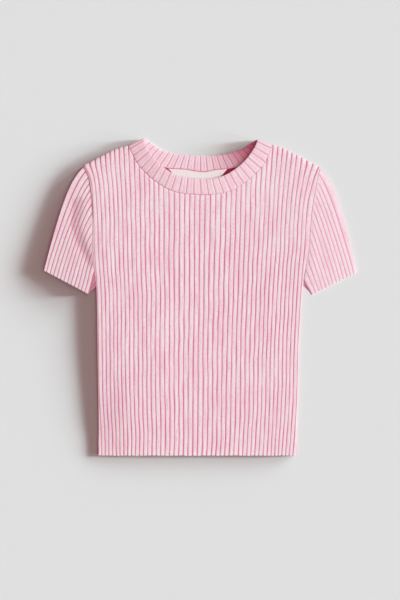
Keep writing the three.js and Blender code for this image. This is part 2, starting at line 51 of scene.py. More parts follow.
QUARTER = math.pi / 2

# Driving sizes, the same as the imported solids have
LENGTH = 442.8
ARMPIT = 263.0
NECK_HALF = 101.0
RIB_WIDTH = 5.8

log = logging.getLogger("crop_top")


class Side(Enum):
    """The two sides of the garment, by the sign of x there."""

    LEFT = -1
    RIGHT = 1


class Smooth:
    """A smooth curve through short rows of a place and its value."""

    def __init__(self, rows: Iterable[tuple[float, float]]) -> None:
        """Keeps the rows and works out a slope at each.

        Args:
            rows: Pairs of a place and the value there, in order of place.
        """
        self.places, self.values = np.array(list(rows), float).T
        last = len(self.places) - 1
        before = np.maximum(np.arange(last + 1) - 1, 0)
        after = np.minimum(np.arange(last + 1) + 1, last)
        run = self.places[after] - self.places[before]
        self.slopes = (self.values[after] - self.values[before]) / run

    def __call__(self, place: np.ndarray | float) -> np.ndarray:
        """The value at each place, held level past both ends.

        Args:
            place: Where to read the curve.

        Returns:
            The values, in the shape of place.
        """
        at = np.clip(place, self.places[0], self.places[-1])
        n = np.clip(np.searchsorted(self.places, at, side="right") - 1, 0, len(self.places) - 2)
        span = self.places[n + 1] - self.places[n]
        t = (at - self.places[n]) / span
        return (
            (2 * t**3 - 3 * t**2 + 1) * self.values[n]
            + (t**3 - 2 * t**2 + t) * span * self.slopes[n]
            + (3 * t**2 - 2 * t**3) * self.values[n + 1]
            + (t**3 - t**2) * span * self.slopes[n + 1]
        )


class Line:
    """A line on the cloth, as points across and up from the hem."""

    def __init__(self, points: np.ndarray | Sequence[tuple[float, float]]) -> None:
        """Keeps the points with the length along the line to each.

        Args:
            points: The points in order, as pairs of x and height.
        """
        self.points = np.asarray(points, float)
        steps = np.hypot(*np.diff(self.points, axis=0).T)
        self.lengths = np.concatenate([[0.0], np.cumsum(steps)])

    @classmethod
    def through(cls, rows: Sequence[tuple[float, float]], steps: int = 400) -> "Line":
        """A line on the smooth curve through rows of x and height.

        Args:
            rows: Pairs of x and height, in order of x.
            steps: How many straight steps stand for the curve.

        Returns:
            The line.
        """
        curve = Smooth(rows)
        x = np.linspace(rows[0][0], rows[-1][0], steps + 1)
        return cls(np.stack([x, curve(x)], -1))

    def at(self, share: np.ndarray | float) -> np.ndarray:
        """The points a share of the way along the line.

        Args:
            share: Shares from 0 to 1, of any shape.

        Returns:
            The points, with x and height in the last axis.
        """
        along = np.clip(share, 0.0, 1.0) * self.lengths[-1]
        return np.stack([np.interp(along, self.lengths, self.points[:, i]) for i in (0, 1)], -1)

    def distance(self, points: np.ndarray) -> np.ndarray:
        """How far each point is from the line.

        Args:
            points: Points with x and height in the last axis.

        Returns:
            The distances.
        """
        nearest = np.full(points.shape[:-1], np.inf)
        for start, end in zip(self.points[:-1], self.points[1:]):
            step = end - start
            share = np.clip(((points - start) @ step) / (step @ step), 0.0, 1.0)
            foot = start + share[..., None] * step
            nearest = np.minimum(nearest, np.hypot(*np.moveaxis(points - foot, -1, 0)))
        return nearest


def eased(share: np.ndarray | float) -> np.ndarray:
    """A share from 0 to 1 with soft ends, held there on both sides."""
    s = np.clip(share, 0.0, 1.0)
    return s * s * (3.0 - 2.0 * s)


def quarter_turn(share: np.ndarray | float) -> np.ndarray:
    """How far a quarter of a round turn has risen, for a share from 0 to 1."""
    return np.sin(QUARTER * np.clip(share, 0.0, 1.0))


class Unevenness:
    """Soft random waves over the cloth, the same in each run."""

    def __init__(self, seed: int, across: float, along: float, waves: int = 9) -> None:
        """Draws the waves.

        Args:
            seed: Picks the waves.
            across: The typical length of a wave across.
            along: The typical length of a wave along.
            waves: How many waves are added up.
        """
        draw = np.random.default_rng(seed)
        turn = draw.uniform(0.0, math.pi, waves)
        fineness = 2.0 * math.pi * draw.uniform(0.6, 1.5, waves)
        self.steps_across = fineness * np.cos(turn) / across
        self.steps_along = fineness * np.sin(turn) / along
        self.starts = draw.uniform(0.0, 2.0 * math.pi, waves)

    def __call__(self, across: np.ndarray, along: np.ndarray) -> np.ndarray:
        """The height of the waves, mostly between -1 and 1.

        Args:
            across: Places across.
            along: Places along.

        Returns:
            The heights.
        """
        total = np.zeros(np.broadcast(across, along).shape)
        for step_across, step_along, start in zip(self.steps_across, self.steps_along, self.starts):
            total += np.sin(step_across * across + step_along * along + start)
        return total / math.sqrt(len(self.starts))


@dataclass(frozen=True)
class Dent:
    """A soft hollow of the cloth, or a swell where its depth is below zero."""

    x: float
    height: float
    across_reach: float
    along_reach: float
    depth: float
    lean: float = 0.0

    def drop(self, x: np.ndarray, height: np.ndarray) -> np.ndarray:
        """How far the cloth lies lower at each place.

        Args:
            x: Places across.
            height: Places up from the hem.

        Returns:
            The drops.
        """
        up = (height - self.height) / self.along_reach
        across = (x - self.x - self.lean * (height - self.height)) / self.across_reach
        return self.depth * np.exp(-(across**2) - up**2)


@dataclass(frozen=True)
class RibForm:
    """The raised form of a rib: a broad rounded crest between narrow grooves."""

    shares: tuple[float, ...] = (0.0, 0.05, 0.13, 0.28, 0.5, 0.72, 0.87, 0.95)
    fullness: float = 3.6
    uneven_step: float = 2.63
    uneven_across: float = 1.9
    uneven_along: float = 70.0

    def columns(self, ribs: int) -> np.ndarray:
        """Places of the mesh columns over a number of ribs.

        Args:
            ribs: How many ribs there are.

        Returns:
            The places, counted in ribs.
        """
        return np.append(np.add.outer(np.arange(ribs), self.shares).ravel(), ribs)

    def lift(self, place: np.ndarray) -> np.ndarray:
        """How far the cloth is raised, from 0 in a groove to 1 on a crest.

        Args:
            place: Places across, counted in ribs.

        Returns:
            The lifts.
        """
        across = np.abs(2.0 * (place - np.floor(place)) - 1.0)
        return np.sqrt(np.clip(1.0 - across**self.fullness, 0.0, 1.0))

    def uneven(self, place: np.ndarray, run: np.ndarray, seed: int, amount: float) -> np.ndarray:
        """How much deeper or shallower each groove is along its run, about 1.

        Args:
            place: Places across, counted in ribs.
            run: Places along the ribs.
            seed: Picks the unevenness.
            amount: How uneven the grooves are.

        Returns:
            The share of the usual depth.
        """
        groove = np.round(place)
        waves = Unevenness(seed, self.uneven_across, self.uneven_along)
        return 1.0 + amount * waves(groove * self.uneven_step, run)


@dataclass(frozen=True)
class Cut:
    """The lines of the garment that its pieces share."""

    ribs: int = 48
    middle_spread: float = 0.12
    fold_reach: float = 4.5
    flare_from: float = 336.0
    flare_climb: float = 79.0
    flare_most: float = 1.2
    flare_bend: float = 1.35
    flare_edge: float = 1.5
    flare_reach: float = 4.4
    flare_all_over: float = 0.25
    wander: float = 0.35
    wander_ease: float = 9.0
    sides: tuple[tuple[float, ...], ...] = (
        # height, left, right, left rib, right rib
        (0, 142, 135, 4.2, 5.5),
        (35, 142, 135.5, 3.5, 3.1),
        (80, 142, 136, 0.9, 0.9),
        (147, 143, 137.5, 0.8, 0.8),
        (217, 144, 141.5, 0.8, 1.2),
        (245, 145.5, 145.5, 0.8, 3.4),
        (263, 148.5, 148.5, 2.2, 5),
        (287, 150, 152.5, 2.3, 6.6),
        (326, 150.5, 155.5, 1.8, 7.5),
        (350, 151, 158, 0.9, 7.6),
        (375, 153.5, 162.5, 2.2, 6.6),
        (389, 156, 165, 2, 5),
        (399, 160.5, 167.5, 1.6, 3.4),
        (405, 164, 169.5, 1.4, 2.4),
    )
    left_shoulder: tuple[tuple[float, float], ...] = (
        (-164, 404.6), (-155.4, 408.8), (-140, 417), (-126, 424.4), (-112, 430), (-101.4, 432.5),
    )
    right_shoulder: tuple[tuple[float, float], ...] = (
        (101.8, 433.8), (112, 430.5), (126, 424.4), (140, 417.2), (156.8, 408), (169.5, 401.8),
    )
    front_seam: tuple[tuple[float, float], ...] = (
        (-100.8, 432.6), (-94.8, 421.5), (-86.8, 406.5), (-74.5, 393), (-59.8, 381), (-44.8, 372),
        (-29.8, 367), (0, 364.3), (28, 365.4), (44.8, 370.3), (60.2, 379.4), (74.2, 390.6),
        (88.2, 406), (95.6, 420), (101.2, 434),
    )
    front_edge: tuple[tuple[float, float], ...] = (
        (-79.1, 443.8), (-77.4, 436.4), (-70, 422.4), (-57, 407.6), (-46.6, 399), (-32.6, 391),
        (-14, 387.4), (14, 386.3), (32.6, 390.6), (48.6, 399.6), (63.4, 412.6), (74.6, 428),
        (78.4, 435.4), (80.5, 442.4),
    )
    back_seam: tuple[tuple[float, float], ...] = (
        (-100.8, 432.6), (-88, 419), (-70, 408), (-47.6, 401.8), (-22, 400), (4, 396.4),
        (21, 399.4), (44.8, 401.8), (70, 409), (90, 421.5), (101.2, 434),
    )
    back_edge: tuple[tuple[float, float], ...] = (
        (-79.1, 443.8), (-63, 433), (-49, 425.4), (-28, 420.7), (0, 418.6), (28, 420),
        (49, 424.6), (63, 430.6), (80.5, 442.4),
    )

    def side(self, side: Side, height: np.ndarray) -> np.ndarray:
        """Where the side fold, or the armhole above the armpit, is at each height.

        Args:
            side: Which side.
            height: Heights up from the hem.

        Returns:
            The places across.
        """
        column = 1 if side is Side.LEFT else 2
        return side.value * Smooth([(row[0], row[column]) for row in self.sides])(height)

    def rib_x(self, line: np.ndarray, height: np.ndarray) -> np.ndarray:
        """Where rib lines are at some heights, line 0 being the left edge.

        Args:
            line: Lines, counted in ribs from the left edge.
            height: Heights up from the hem.

        Returns:
            The places across.
        """
        left = self.side(Side.LEFT, height)
        right = self.side(Side.RIGHT, height)
        first = self.outer_line(Side.LEFT, height)
        last = self.outer_line(Side.RIGHT, height)
        trunk_height = np.minimum(height, self.flare_from)
        trunk_first = self.outer_line(Side.LEFT, trunk_height)
        trunk_last = self.outer_line(Side.RIGHT, trunk_height)
        share = np.clip((line - 1.0) / (self.ribs - 2.0), 0.0, 1.0)
        spread = self.middle_spread / (2.0 * math.pi) * np.sin(2.0 * math.pi * share)
        between = trunk_first + (trunk_last - trunk_first) * (share - spread)
        between = between + self.flare(Side.LEFT, height, share)
        between = between + self.flare(Side.RIGHT, height, 1.0 - share)
        inner = eased(self.wander_ease * np.minimum(share, 1.0 - share))
        between = between + self.wander * WANDER(line, height) * inner
        at_left = left + (first - left) * line
        at_right = right + (last - right) * (self.ribs - line)
        return np.where(line < 1.0, at_left, np.where(line > self.ribs - 1.0, at_right, between))

    def outer_line(self, side: Side, height: np.ndarray) -> np.ndarray:
        """Where the outer groove of a side is at some heights.

        Args:
            side: Which side.
            height: Heights up from the hem.

        Returns:
            The places across.
        """
        column = 3 if side is Side.LEFT else 4
        inset = Smooth([(row[0], row[column]) for row in self.sides])(height)
        return self.side(side, height) - side.value * inset

    def flare(self, side: Side, height: np.ndarray, away: np.ndarray) -> np.ndarray:
        """How far an armhole's flare moves lines across, more softly the farther they are from it.

        Args:
            side: Which side.
            height: Heights up from the hem.
            away: How far the lines are from that side, as a share of the panel.

        Returns:
            The moves.
        """
        trunk = self.outer_line(side, np.minimum(height, self.flare_from))
        at_edge = self.outer_line(side, height) - trunk
        full = self.outer_line(side, LENGTH) - self.outer_line(side, self.flare_from)
        climb = np.clip((height - self.flare_from) / self.flare_climb, 0.0, self.flare_most)
        climb = climb**self.flare_bend
        ribs_away = (self.ribs - 2.0) * away
        edge = np.exp(-ribs_away / self.flare_edge)
        near = (1.0 - self.flare_all_over) * np.exp(-ribs_away / self.flare_reach) + self.flare_all_over
        return (at_edge * edge + full * climb * (near - edge)) * (1.0 - away)

    def top(self, x: np.ndarray, seam: Sequence[tuple[float, float]], gap: float) -> np.ndarray:
        """Height of a panel's top edge: shoulder, neck seam, shoulder.

        Args:
            x: Places across.
            seam: The neck seam of that panel.
            gap: How far the edge stays below the seam.

        Returns:
            The heights.
        """
        curve = Smooth(seam)
        half_step = 0.5
        rise = (curve(x + half_step) - curve(x - half_step)) / (2.0 * half_step)
        neck = curve(x) - gap * np.hypot(1.0, rise)
        left = Smooth(self.left_shoulder)(x)
        right = Smooth(self.right_shoulder)(x)
        return np.where(x < seam[0][0], left, np.where(x > seam[-1][0], right, neck))

    def rib_top(self, line: np.ndarray, seam: Sequence[tuple[float, float]], gap: float) -> np.ndarray:
        """Height of the top end of rib lines.

        Args:
            line: Lines, counted in ribs.
            seam: The neck seam of that panel.
            gap: How far the edge stays below the seam.

        Returns:
            The heights.
        """
        height = np.full(np.shape(line), ARMPIT)
        for _ in range(12):
            height = self.top(self.rib_x(line, height), seam, gap)
        return height

    def side_line(self, side: Side, down_to: float) -> Line:
        """The armhole from the shoulder down to a height.

        Args:
            side: Which side.
            down_to: The height where the line ends.

        Returns:
            The line.
        """
        shoulder = self.left_shoulder[0] if side is Side.LEFT else self.right_shoulder[-1]
        heights = np.linspace(shoulder[1], down_to, 60)
        return Line(np.stack([self.side(side, heights), heights], -1))


WANDER = Unevenness(31, 7.0, 60.0)
CUT = Cut()
RIB = RibForm()
BAND_RIB = RibForm(shares=(0.0, 0.06, 0.15, 0.3, 0.42, 0.5, 0.58, 0.7, 0.85, 0.94))


def normals(grid: np.ndarray, closed: bool = False) -> np.ndarray:
    """Unit normals of a grid of points, by the steps along its rows and columns.

    Args:
        grid: Points in rows and columns.
        closed: Whether the last column meets the first.

    Returns:
        The normals, in the shape of the grid.
    """
    if closed:
        across = np.roll(grid, -1, axis=1) - np.roll(grid, 1, axis=1)
    else:
        across = np.gradient(grid, axis=1)
    along = np.gradient(grid, axis=0)
    normal = np.cross(across, along)
    length = np.linalg.norm(normal, axis=-1, keepdims=True)
    return normal / np.maximum(length, 1e-9)


class Cloth:
    """Collects the points and faces of one piece of cloth, with the marks that its finish reads.

    The marks of a point are its place across in ribs, its place along the rib in millimetres, how far
    it is raised, how near it is to the end of its rib, and how much painted shade darkens its colour.
    """

    # the last mark is how much painted shade darkens the cloth's colour
    MARKS = ("rib_place", "rib_run", "rib_lift", "end", "painted_shade")

    def __init__(self) -> None:
        """Starts with no points."""
        self.points: list[np.ndarray] = []
        self.marks: list[np.ndarray] = []
        self.faces: list[np.ndarray] = []
        self.count = 0

    def grid(self, points: np.ndarray, *marks: np.ndarray | float) -> np.ndarray:
        """Adds a grid of points.

        Args:
            points: Points in rows and columns, as x, height and z in millimetres.
            *marks: The marks in the order of MARKS, each of the grid's shape or one number.

        Returns:
            The numbers of the points, in rows and columns.
        """
        shape = points.shape[:2]
        filled = [np.broadcast_to(mark, shape) for mark in marks]
        filled += [np.zeros(shape)] * (len(self.MARKS) - len(filled))
        placed = points.copy()
        placed[..., 1] -= LENGTH / 2
        self.points.append(placed.reshape(-1, 3) * MM)
        self.marks.append(np.stack(filled, -1).reshape(-1, len(self.MARKS)))
        numbers = np.arange(shape[0] * shape[1]).reshape(shape) + self.count
        self.count += numbers.size
        return numbers

    def skin(self, grid: np.ndarray, closed: bool = False, flip: bool = False) -> None:
        """Adds the faces of a grid.

        Args:
            grid: Numbers of the points, in rows and columns.
            closed: Whether the last column meets the first.
            flip: Whether the faces look the other way.
        """
        ring = np.concatenate([grid, grid[:, :1]], axis=1) if closed else grid
        corners = [ring[:-1, :-1], ring[:-1, 1:], ring[1:, 1:], ring[1:, :-1]]
        faces = np.stack(corners, -1).reshape(-1, 4)
        self.faces.append(faces[:, ::-1] if flip else faces)

    def wall(self, outer: np.ndarray, inner: np.ndarray, closed: bool = False, flip: bool = False) -> None:
        """Adds a wall between two grids of one size.

        Args:
            outer: Numbers of the outer points.
            inner: Numbers of the inner points.
            closed: Whether the wall is a tube.
            flip: Whether the faces look the other way.
        """
        self.skin(outer, closed, flip)
        self.skin(inner, closed, not flip)
        self.skin(np.stack([inner[0], outer[0]]), closed, flip)
        self.skin(np.stack([outer[-1], inner[-1]]), closed, flip)
        if not closed:
            self.skin(np.stack([outer[:, 0], inner[:, 0]]), flip=flip)
            self.skin(np.stack([inner[:, -1], outer[:, -1]]), flip=flip)

    def build(self, name: str) -> bpy.types.Object:
        """Makes the object from all that was added.

        Args:
            name: The name of the piece.

        Returns:
            The new object, smooth shaded.
        """
        mesh = bpy.data.meshes.new(name)
        points = np.concatenate(self.points)
        faces = np.concatenate(self.faces)
        mesh.vertices.add(len(points))
        mesh.vertices.foreach_set("co", points.ravel())
        mesh.loops.add(faces.size)
        mesh.loops.foreach_set("vertex_index", faces.ravel())
        mesh.polygons.add(len(faces))
        mesh.polygons.foreach_set("loop_start", np.arange(0, faces.size, 4))
        mesh.polygons.foreach_set("use_smooth", np.ones(len(faces), bool))
        mesh.update(calc_edges=True)
        mesh.validate()
        marks = np.concatenate(self.marks)
        for column, mark in enumerate(self.MARKS):
            attribute = mesh.attributes.new(mark, "FLOAT", "POINT")
            attribute.data.foreach_set("value", np.ascontiguousarray(marks[:, column]))
        piece = bpy.data.objects.new(name, mesh)
        bpy.context.scene.collection.objects.link(piece)
        return piece


class Graph:
    """Lays out a material's nodes with short calls."""

    def __init__(self, name: str) -> None:
        """Starts a material with its shader.

        Args:
            name: The material's name.
        """
        self.material = bpy.data.materials.new(name)
        self.material.use_nodes = True
        self.tree = self.material.node_tree
        self.shader = self.tree.nodes["Principled BSDF"]

    def node(self, kind: str, **settings: object) -> bpy.types.Node:
        """Adds a node and sets what it is given.

        Args:
            kind: Blender's name of the kind of node.
            **settings: Properties to set on it.

        Returns:
            The node.
        """
        node = self.tree.nodes.new(kind)
        for key, value in settings.items():
            setattr(node, key, value)
        return node

    def feed(self, socket: bpy.types.NodeSocket, value: object) -> None:
        """Links a socket to a source, or sets it to a value."""
        if isinstance(value, bpy.types.NodeSocket):
            self.tree.links.new(value, socket)
        else:
            socket.default_value = value

    def mark(self, name: str) -> bpy.types.NodeSocket:
        """The number that the cloth's points hold under a name."""
        return self.node("ShaderNodeAttribute", attribute_name=name).outputs["Fac"]

    def math(self, operation: str, *values: object, clamp: bool = False) -> bpy.types.NodeSocket:
        """Works out one sum.

        Args:
            operation: Blender's name of the sum.
            *values: Sockets or numbers.
            clamp: Whether to keep the result between 0 and 1.

        Returns:
            The result.
        """
        node = self.node("ShaderNodeMath", operation=operation, use_clamp=clamp)
        for socket, value in zip(node.inputs, values):
            self.feed(socket, value)
        return node.outputs[0]

    def ramp(self, value: object, low: float, high: float) -> bpy.types.NodeSocket:
        """A share that goes softly from 0 at low to 1 at high.

        Args:
            value: The socket to read.
            low: Where the share is 0.
            high: Where the share is 1.

        Returns:
            The share.
        """
        node = self.node("ShaderNodeMapRange", interpolation_type="SMOOTHSTEP")
        self.feed(node.inputs["Value"], value)
        node.inputs["From Min"].default_value = low
        node.inputs["From Max"].default_value = high
        return node.outputs["Result"]

    def mix(self, share: object, first: object, second: object, blend: str = "MIX") -> bpy.types.NodeSocket:
        """Mixes two colours.

        Args:
            share: How much of the second.
            first: A colour or a socket.
            second: A colour or a socket.
            blend: Blender's name of the way to mix them.

        Returns:
            The mixed colour.
        """
        node = self.node("ShaderNodeMix", data_type="RGBA", blend_type=blend)
        self.feed(node.inputs["Factor"], share)
        self.feed(node.inputs["A"], first)
        self.feed(node.inputs["B"], second)
        return node.outputs["Result"]

    def vector(self, x: object, y: object, z: object = 0.0) -> bpy.types.NodeSocket:
        """Joins three numbers into a vector."""
        node = self.node("ShaderNodeCombineXYZ")
        for socket, value in zip(node.inputs, (x, y, z)):
            self.feed(socket, value)
        return node.outputs[0]

    def noise(self, vector: object, scale: float, detail: float = 2.0) -> bpy.types.NodeSocket:
        """Soft noise from 0 to 1.

        Args:
            vector: Where to read it.
            scale: How many lumps there are in one unit.
            detail: How fine it goes.

        Returns:
            The noise.
        """
        node = self.node("ShaderNodeTexNoise")
        self.feed(node.inputs["Vector"], vector)
        node.inputs["Scale"].default_value = scale
        node.inputs["Detail"].default_value = detail
        return node.outputs["Fac"]

    def bump(self, height: object, depth: float, strength: float = 1.0) -> None:
        """Raises the shader's surface by a height from 0 to 1.

        Args:
            height: The height.
            depth: What a height of 1 measures, in metres.
            strength: How strongly it shows.
        """
        node = self.node("ShaderNodeBump")
        node.inputs["Distance"].default_value = depth
        node.inputs["Strength"].default_value = strength
        self.feed(node.inputs["Height"], height)
        self.tree.links.new(node.outputs["Normal"], self.shader.inputs["Normal"])


def colour(red: int, green: int, blue: int) -> tuple[float, float, float, float]:
    """A colour from the 0 to 255 values seen on a screen.

    Args:
        red: The red value.
        green: The green value.
        blue: The blue value.

    Returns:
        The linear colour with full alpha.
    """
    def linear(value: int) -> float:
        """One channel made linear."""
        share = value / 255
        return share / 12.92 if share <= 0.04045 else ((share + 0.055) / 1.055) ** 2.4

    return (linear(red), linear(green), linear(blue), 1.0)


@dataclass(frozen=True)
class RibKnit:
    """Mottled rib knit: columns of stitches on each rib, painted shade down in the grooves and on marked
    places.
    """

    name: str
    crest: tuple[int, int, int] = (244, 222, 229)
    pale: tuple[int, int, int] = (247, 238, 241)
    deep: tuple[int, int, int] = (240, 190, 206)
    # painted shade: the first colour below lies down in the grooves, the second darkens the places marked
    # with shade
    groove: tuple[int, int, int] = (226, 122, 155)
    painted_shade_colour: tuple[int, int, int] = (186, 78, 112)
    wales: int = 3
    course: float = 1.3
    stitch_depth: float = 0.2 * MM
    groove_from: float = 0.55
    groove_to: float = 0.99
    wale_line: float = 0.4
    mottle: float = 0.8
    # how fine the long streaks, short streaks and clouds are, across and along, and their shares
    long_streaks: tuple[float, float] = (3.7, 0.035)
    short_streaks: tuple[float, float] = (1.7, 0.22)
    clouds: tuple[float, float] = (0.3, 0.02)
    streak_shares: tuple[float, float, float] = (0.5, 0.3, 0.2)
    cloud_share: float = 0.3
    # the tones from which and to which each deeper or paler colour comes in
    pale_tones: tuple[float, float] = (0.5, 0.68)
    deep_tones: tuple[float, float] = (0.49, 0.34)
    cloud_tones: tuple[float, float] = (0.45, 0.75)
    line_places: tuple[float, float] = (0.7, 1.0)
    end_tones: tuple[float, float] = (0.2, 0.6)
    groove_flecks: tuple[float, float] = (0.6, 0.7)
    leg_slant: float = 0.6
    loop_height: float = 0.6

    def noise_at(self, graph: Graph, across: bpy.types.NodeSocket, run: bpy.types.NodeSocket,
                 fineness: tuple[float, float], detail: float) -> bpy.types.NodeSocket:
        """Soft noise over the knit.

        Args:
            graph: The material's nodes.
            across: Places across.
            run: Places along the rib.
            fineness: How fine the noise is, across and along.
            detail: How fine it goes.

        Returns:
            The noise.
        """
        place = graph.vector(graph.math("MULTIPLY", across, fineness[0]),
                             graph.math("MULTIPLY", run, fineness[1]))
        return graph.noise(place, 1.0, detail)

    def stitches(self, graph: Graph, column: bpy.types.NodeSocket,
                 run: bpy.types.NodeSocket) -> tuple[bpy.types.NodeSocket, bpy.types.NodeSocket]:
        """The v-shaped stitches.

        Args:
            graph: The material's nodes.
            column: Places across, counted in columns of stitches.
            run: Places along the rib in millimetres.

        Returns:
            The height of the stitches and a random tone for each leg of a stitch.
        """
        row = graph.math("DIVIDE", run, self.course)
        leg = graph.math("ABSOLUTE", graph.math("MULTIPLY_ADD", graph.math("FRACT", column), 2.0, -1.0))
        slant = graph.math("SUBTRACT", row, graph.math("MULTIPLY", leg, self.leg_slant))
        side = graph.math("MULTIPLY_ADD", leg, 2.0, -1.0)
        strand = graph.math("SUBTRACT", 1.0, graph.math("MULTIPLY", side, side))
        loop = graph.math("SINE", graph.math("MULTIPLY", graph.math("FRACT", slant), math.pi))
        raised = graph.math("MULTIPLY_ADD", loop, self.loop_height, 1.0 - self.loop_height)
        height = graph.math("MULTIPLY", graph.math("POWER", strand, 0.6), raised)
        yarn = graph.node("ShaderNodeTexWhiteNoise", noise_dimensions="2D")
        half = graph.math("FLOOR", graph.math("MULTIPLY", column, 2.0))
        graph.feed(yarn.inputs["Vector"], graph.vector(half, graph.math("FLOOR", slant)))
        return height, yarn.outputs["Value"]

    def material(self) -> bpy.types.Material:
        """Builds the finish.

        Returns:
            The material.
        """
        graph = Graph(self.name)
        place = graph.mark("rib_place")
        run = graph.mark("rib_run")
        column = graph.math("MULTIPLY", place, float(self.wales))
        height, fleck = self.stitches(graph, column, run)

        wale = graph.math("FLOOR", column)
        long_streak = self.noise_at(graph, wale, run, self.long_streaks, 1.0)
        short_streak = self.noise_at(graph, column, run, self.short_streaks, 2.0)
        cloud = self.noise_at(graph, place, run, self.clouds, 1.0)
        long_share, short_share, fleck_share = self.streak_shares
        flecked = graph.math("MULTIPLY", fleck, fleck_share)
        tone = graph.math("ADD", graph.math("MULTIPLY", long_streak, long_share),
                          graph.math("MULTIPLY_ADD", short_streak, short_share, flecked))
        body = colour(*self.crest)
        layers = (
            (graph.ramp(tone, *self.pale_tones), self.mottle, self.pale),
            (graph.ramp(tone, *self.deep_tones), self.mottle, self.deep),
            (graph.ramp(cloud, *self.cloud_tones), self.cloud_share, self.deep),
        )
        for shown, share, tint in layers:
            body = graph.mix(graph.math("MULTIPLY", shown, share), body, colour(*tint))
        beside = graph.math("ABSOLUTE", graph.math("MULTIPLY_ADD", graph.math("FRACT", column), 2.0, -1.0))
        line = graph.math("MULTIPLY", graph.ramp(beside, *self.line_places), self.wale_line)
        body = graph.mix(line, body, colour(*self.deep))
        # paler flecks towards the ends of the ribs
        hem = graph.mark("end")
        end_paling = graph.math("MULTIPLY", hem, graph.ramp(fleck, *self.end_tones))
        body = graph.mix(end_paling, body, colour(*self.pale))
        lift = graph.mark("rib_lift")
        # the grooves are darkened with painted shade, by how low the cloth lies there
        depth = graph.ramp(lift, self.groove_to, self.groove_from)
        flecks = graph.math("MULTIPLY_ADD", short_streak, *self.groove_flecks)
        depth = graph.math("MULTIPLY", depth, flecks, clamp=True)
        dressed = graph.mix(depth, body, colour(*self.groove))
        # painted shade where the points are marked with it: creases, underarms, the inside of the neck, a
        # hollow
        dressed = graph.mix(graph.mark("painted_shade"), dressed, colour(*self.painted_shade_colour), "MULTIPLY")
        graph.feed(graph.shader.inputs["Base Color"], dressed)
        graph.shader.inputs["Roughness"].default_value = 0.9
        graph.shader.inputs["Specular IOR Level"].default_value = 0.15
        graph.shader.inputs["Sheen Weight"].default_value = 0.08
        graph.shader.inputs["Sheen Roughness"].default_value = 0.5
        graph.bump(height, self.stitch_depth, 0.8)
        return graph.material


@dataclass(frozen=True)
class LabelTape:
    """Bare off-white woven tape with a fine twill."""

    name: str = "label_tape"
    thread: float = 0.35
    face: tuple[int, int, int] = (242, 231, 230)
    shade: tuple[int, int, int] = (232, 216, 215)

    def material(self) -> bpy.types.Material:
        """Builds the finish.

        Returns:
            The material.
        """
        graph = Graph(self.name)
        across = graph.math("DIVIDE", graph.mark("rib_place"), self.thread)
        along = graph.math("DIVIDE", graph.mark("rib_run"), self.thread)
        twill = graph.math("FRACT", graph.math("MULTIPLY_ADD", across, 0.5, along))
        weave = graph.math("SINE", graph.math("MULTIPLY", twill, math.pi))
        body = graph.mix(graph.math("MULTIPLY", weave, 0.7), colour(*self.shade), colour(*self.face))
        graph.feed(graph.shader.inputs["Base Color"], body)
        graph.shader.inputs["Roughness"].default_value = 0.6
        graph.shader.inputs["Sheen Weight"].default_value = 0.1
        graph.bump(weave, 0.05 * MM, 0.6)
        return graph.material


@dataclass(frozen=True)
class SeamThread:
    """Fine twisted sewing thread."""

    name: str = "seam_thread"
    face: tuple[int, int, int] = (212, 104, 140)
    light: tuple[int, int, int] = (240, 160, 185)
    twists: float = 1.6

    def material(self) -> bpy.types.Material:
        """Builds the finish.

        Returns:
            The material.
        """
        graph = Graph(self.name)
        twist = graph.math("FRACT", graph.math("MULTIPLY", graph.mark("rib_run"), self.twists))
        ply = graph.math("SINE", graph.math("MULTIPLY", twist, math.pi))
        body = graph.mix(graph.math("MULTIPLY", ply, 0.4), colour(*self.face), colour(*self.light))
        graph.feed(graph.shader.inputs["Base Color"], body)
        graph.shader.inputs["Roughness"].default_value = 0.7
        graph.bump(ply, 0.08 * MM)
        return graph.material


def dress(piece: bpy.types.Object, finish: bpy.types.Material, slot: str, *nodes: str) -> bpy.types.Object:
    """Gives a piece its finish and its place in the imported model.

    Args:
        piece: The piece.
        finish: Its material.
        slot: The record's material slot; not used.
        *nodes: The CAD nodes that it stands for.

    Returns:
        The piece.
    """
    piece.data.materials.append(finish)
    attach(piece, BODY)
    if nodes:
        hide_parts(*nodes)
    return piece


@dataclass
class Panel:
    """What the front and the back share: rib lines from the hem to the shoulders and the neck seam."""

    wall: float = 1.4
    rib: float = 0.6
    rows: int = 110
    edge: float = 1.5
    scallop: float = 0.9
    end_reach: float = 9.0
    groove_uneven: float = 0.22
    # rows of the mesh near the hem, over a panel this long, and the first of the even rows above them
    hem_rows: tuple[float, ...] = (0.0, 0.12, 0.45, 1.0, 1.8, 3.0, 4.6)
    hem_run: float = 400.0
    first_row: float = 0.016
    fold_rows: int = 9

    def lattice(self, seam: Sequence[tuple[float, float]], gap: float) -> tuple[np.ndarray, ...]:
        """Rib lines and heights of the panel's mesh.

        Args:
            seam: The neck seam of the panel.
            gap: How far its edge stays below the seam.

        Returns:
            Grids of the lines, the heights, the places across and the tops of the lines.
        """
        places = RIB.columns(CUT.ribs)
        top = CUT.rib_top(places, seam, gap)
        hem = np.array(self.hem_rows) / self.hem_run
        straight = np.concatenate([hem, np.linspace(self.first_row, 1.0, self.rows)])
        turns = QUARTER * np.linspace(1.0, 0.0, self.fold_rows)[1:]
        below = straight[:, None] * (top - CUT.fold_reach)
        fold = top - CUT.fold_reach * (1.0 - np.cos(turns))[:, None]
        height = np.concatenate([below, fold])
        line = np.broadcast_to(places, height.shape)
        return line, height, CUT.rib_x(line, height), np.broadcast_to(top, height.shape)

    def rounded(self, distance: np.ndarray) -> np.ndarray:
        """How full the wall is near a cut edge, from 0 on the edge to 1."""
        share = np.clip(distance / self.edge, 0.0, 1.0)
        return np.sqrt(1.0 - (1.0 - share) ** 2)

    def near_end(self, height: np.ndarray) -> np.ndarray:
        """How near each place is to the hem, from 0 to 1."""
        return np.clip(1.0 - height / self.end_reach, 0.0, 1.0)


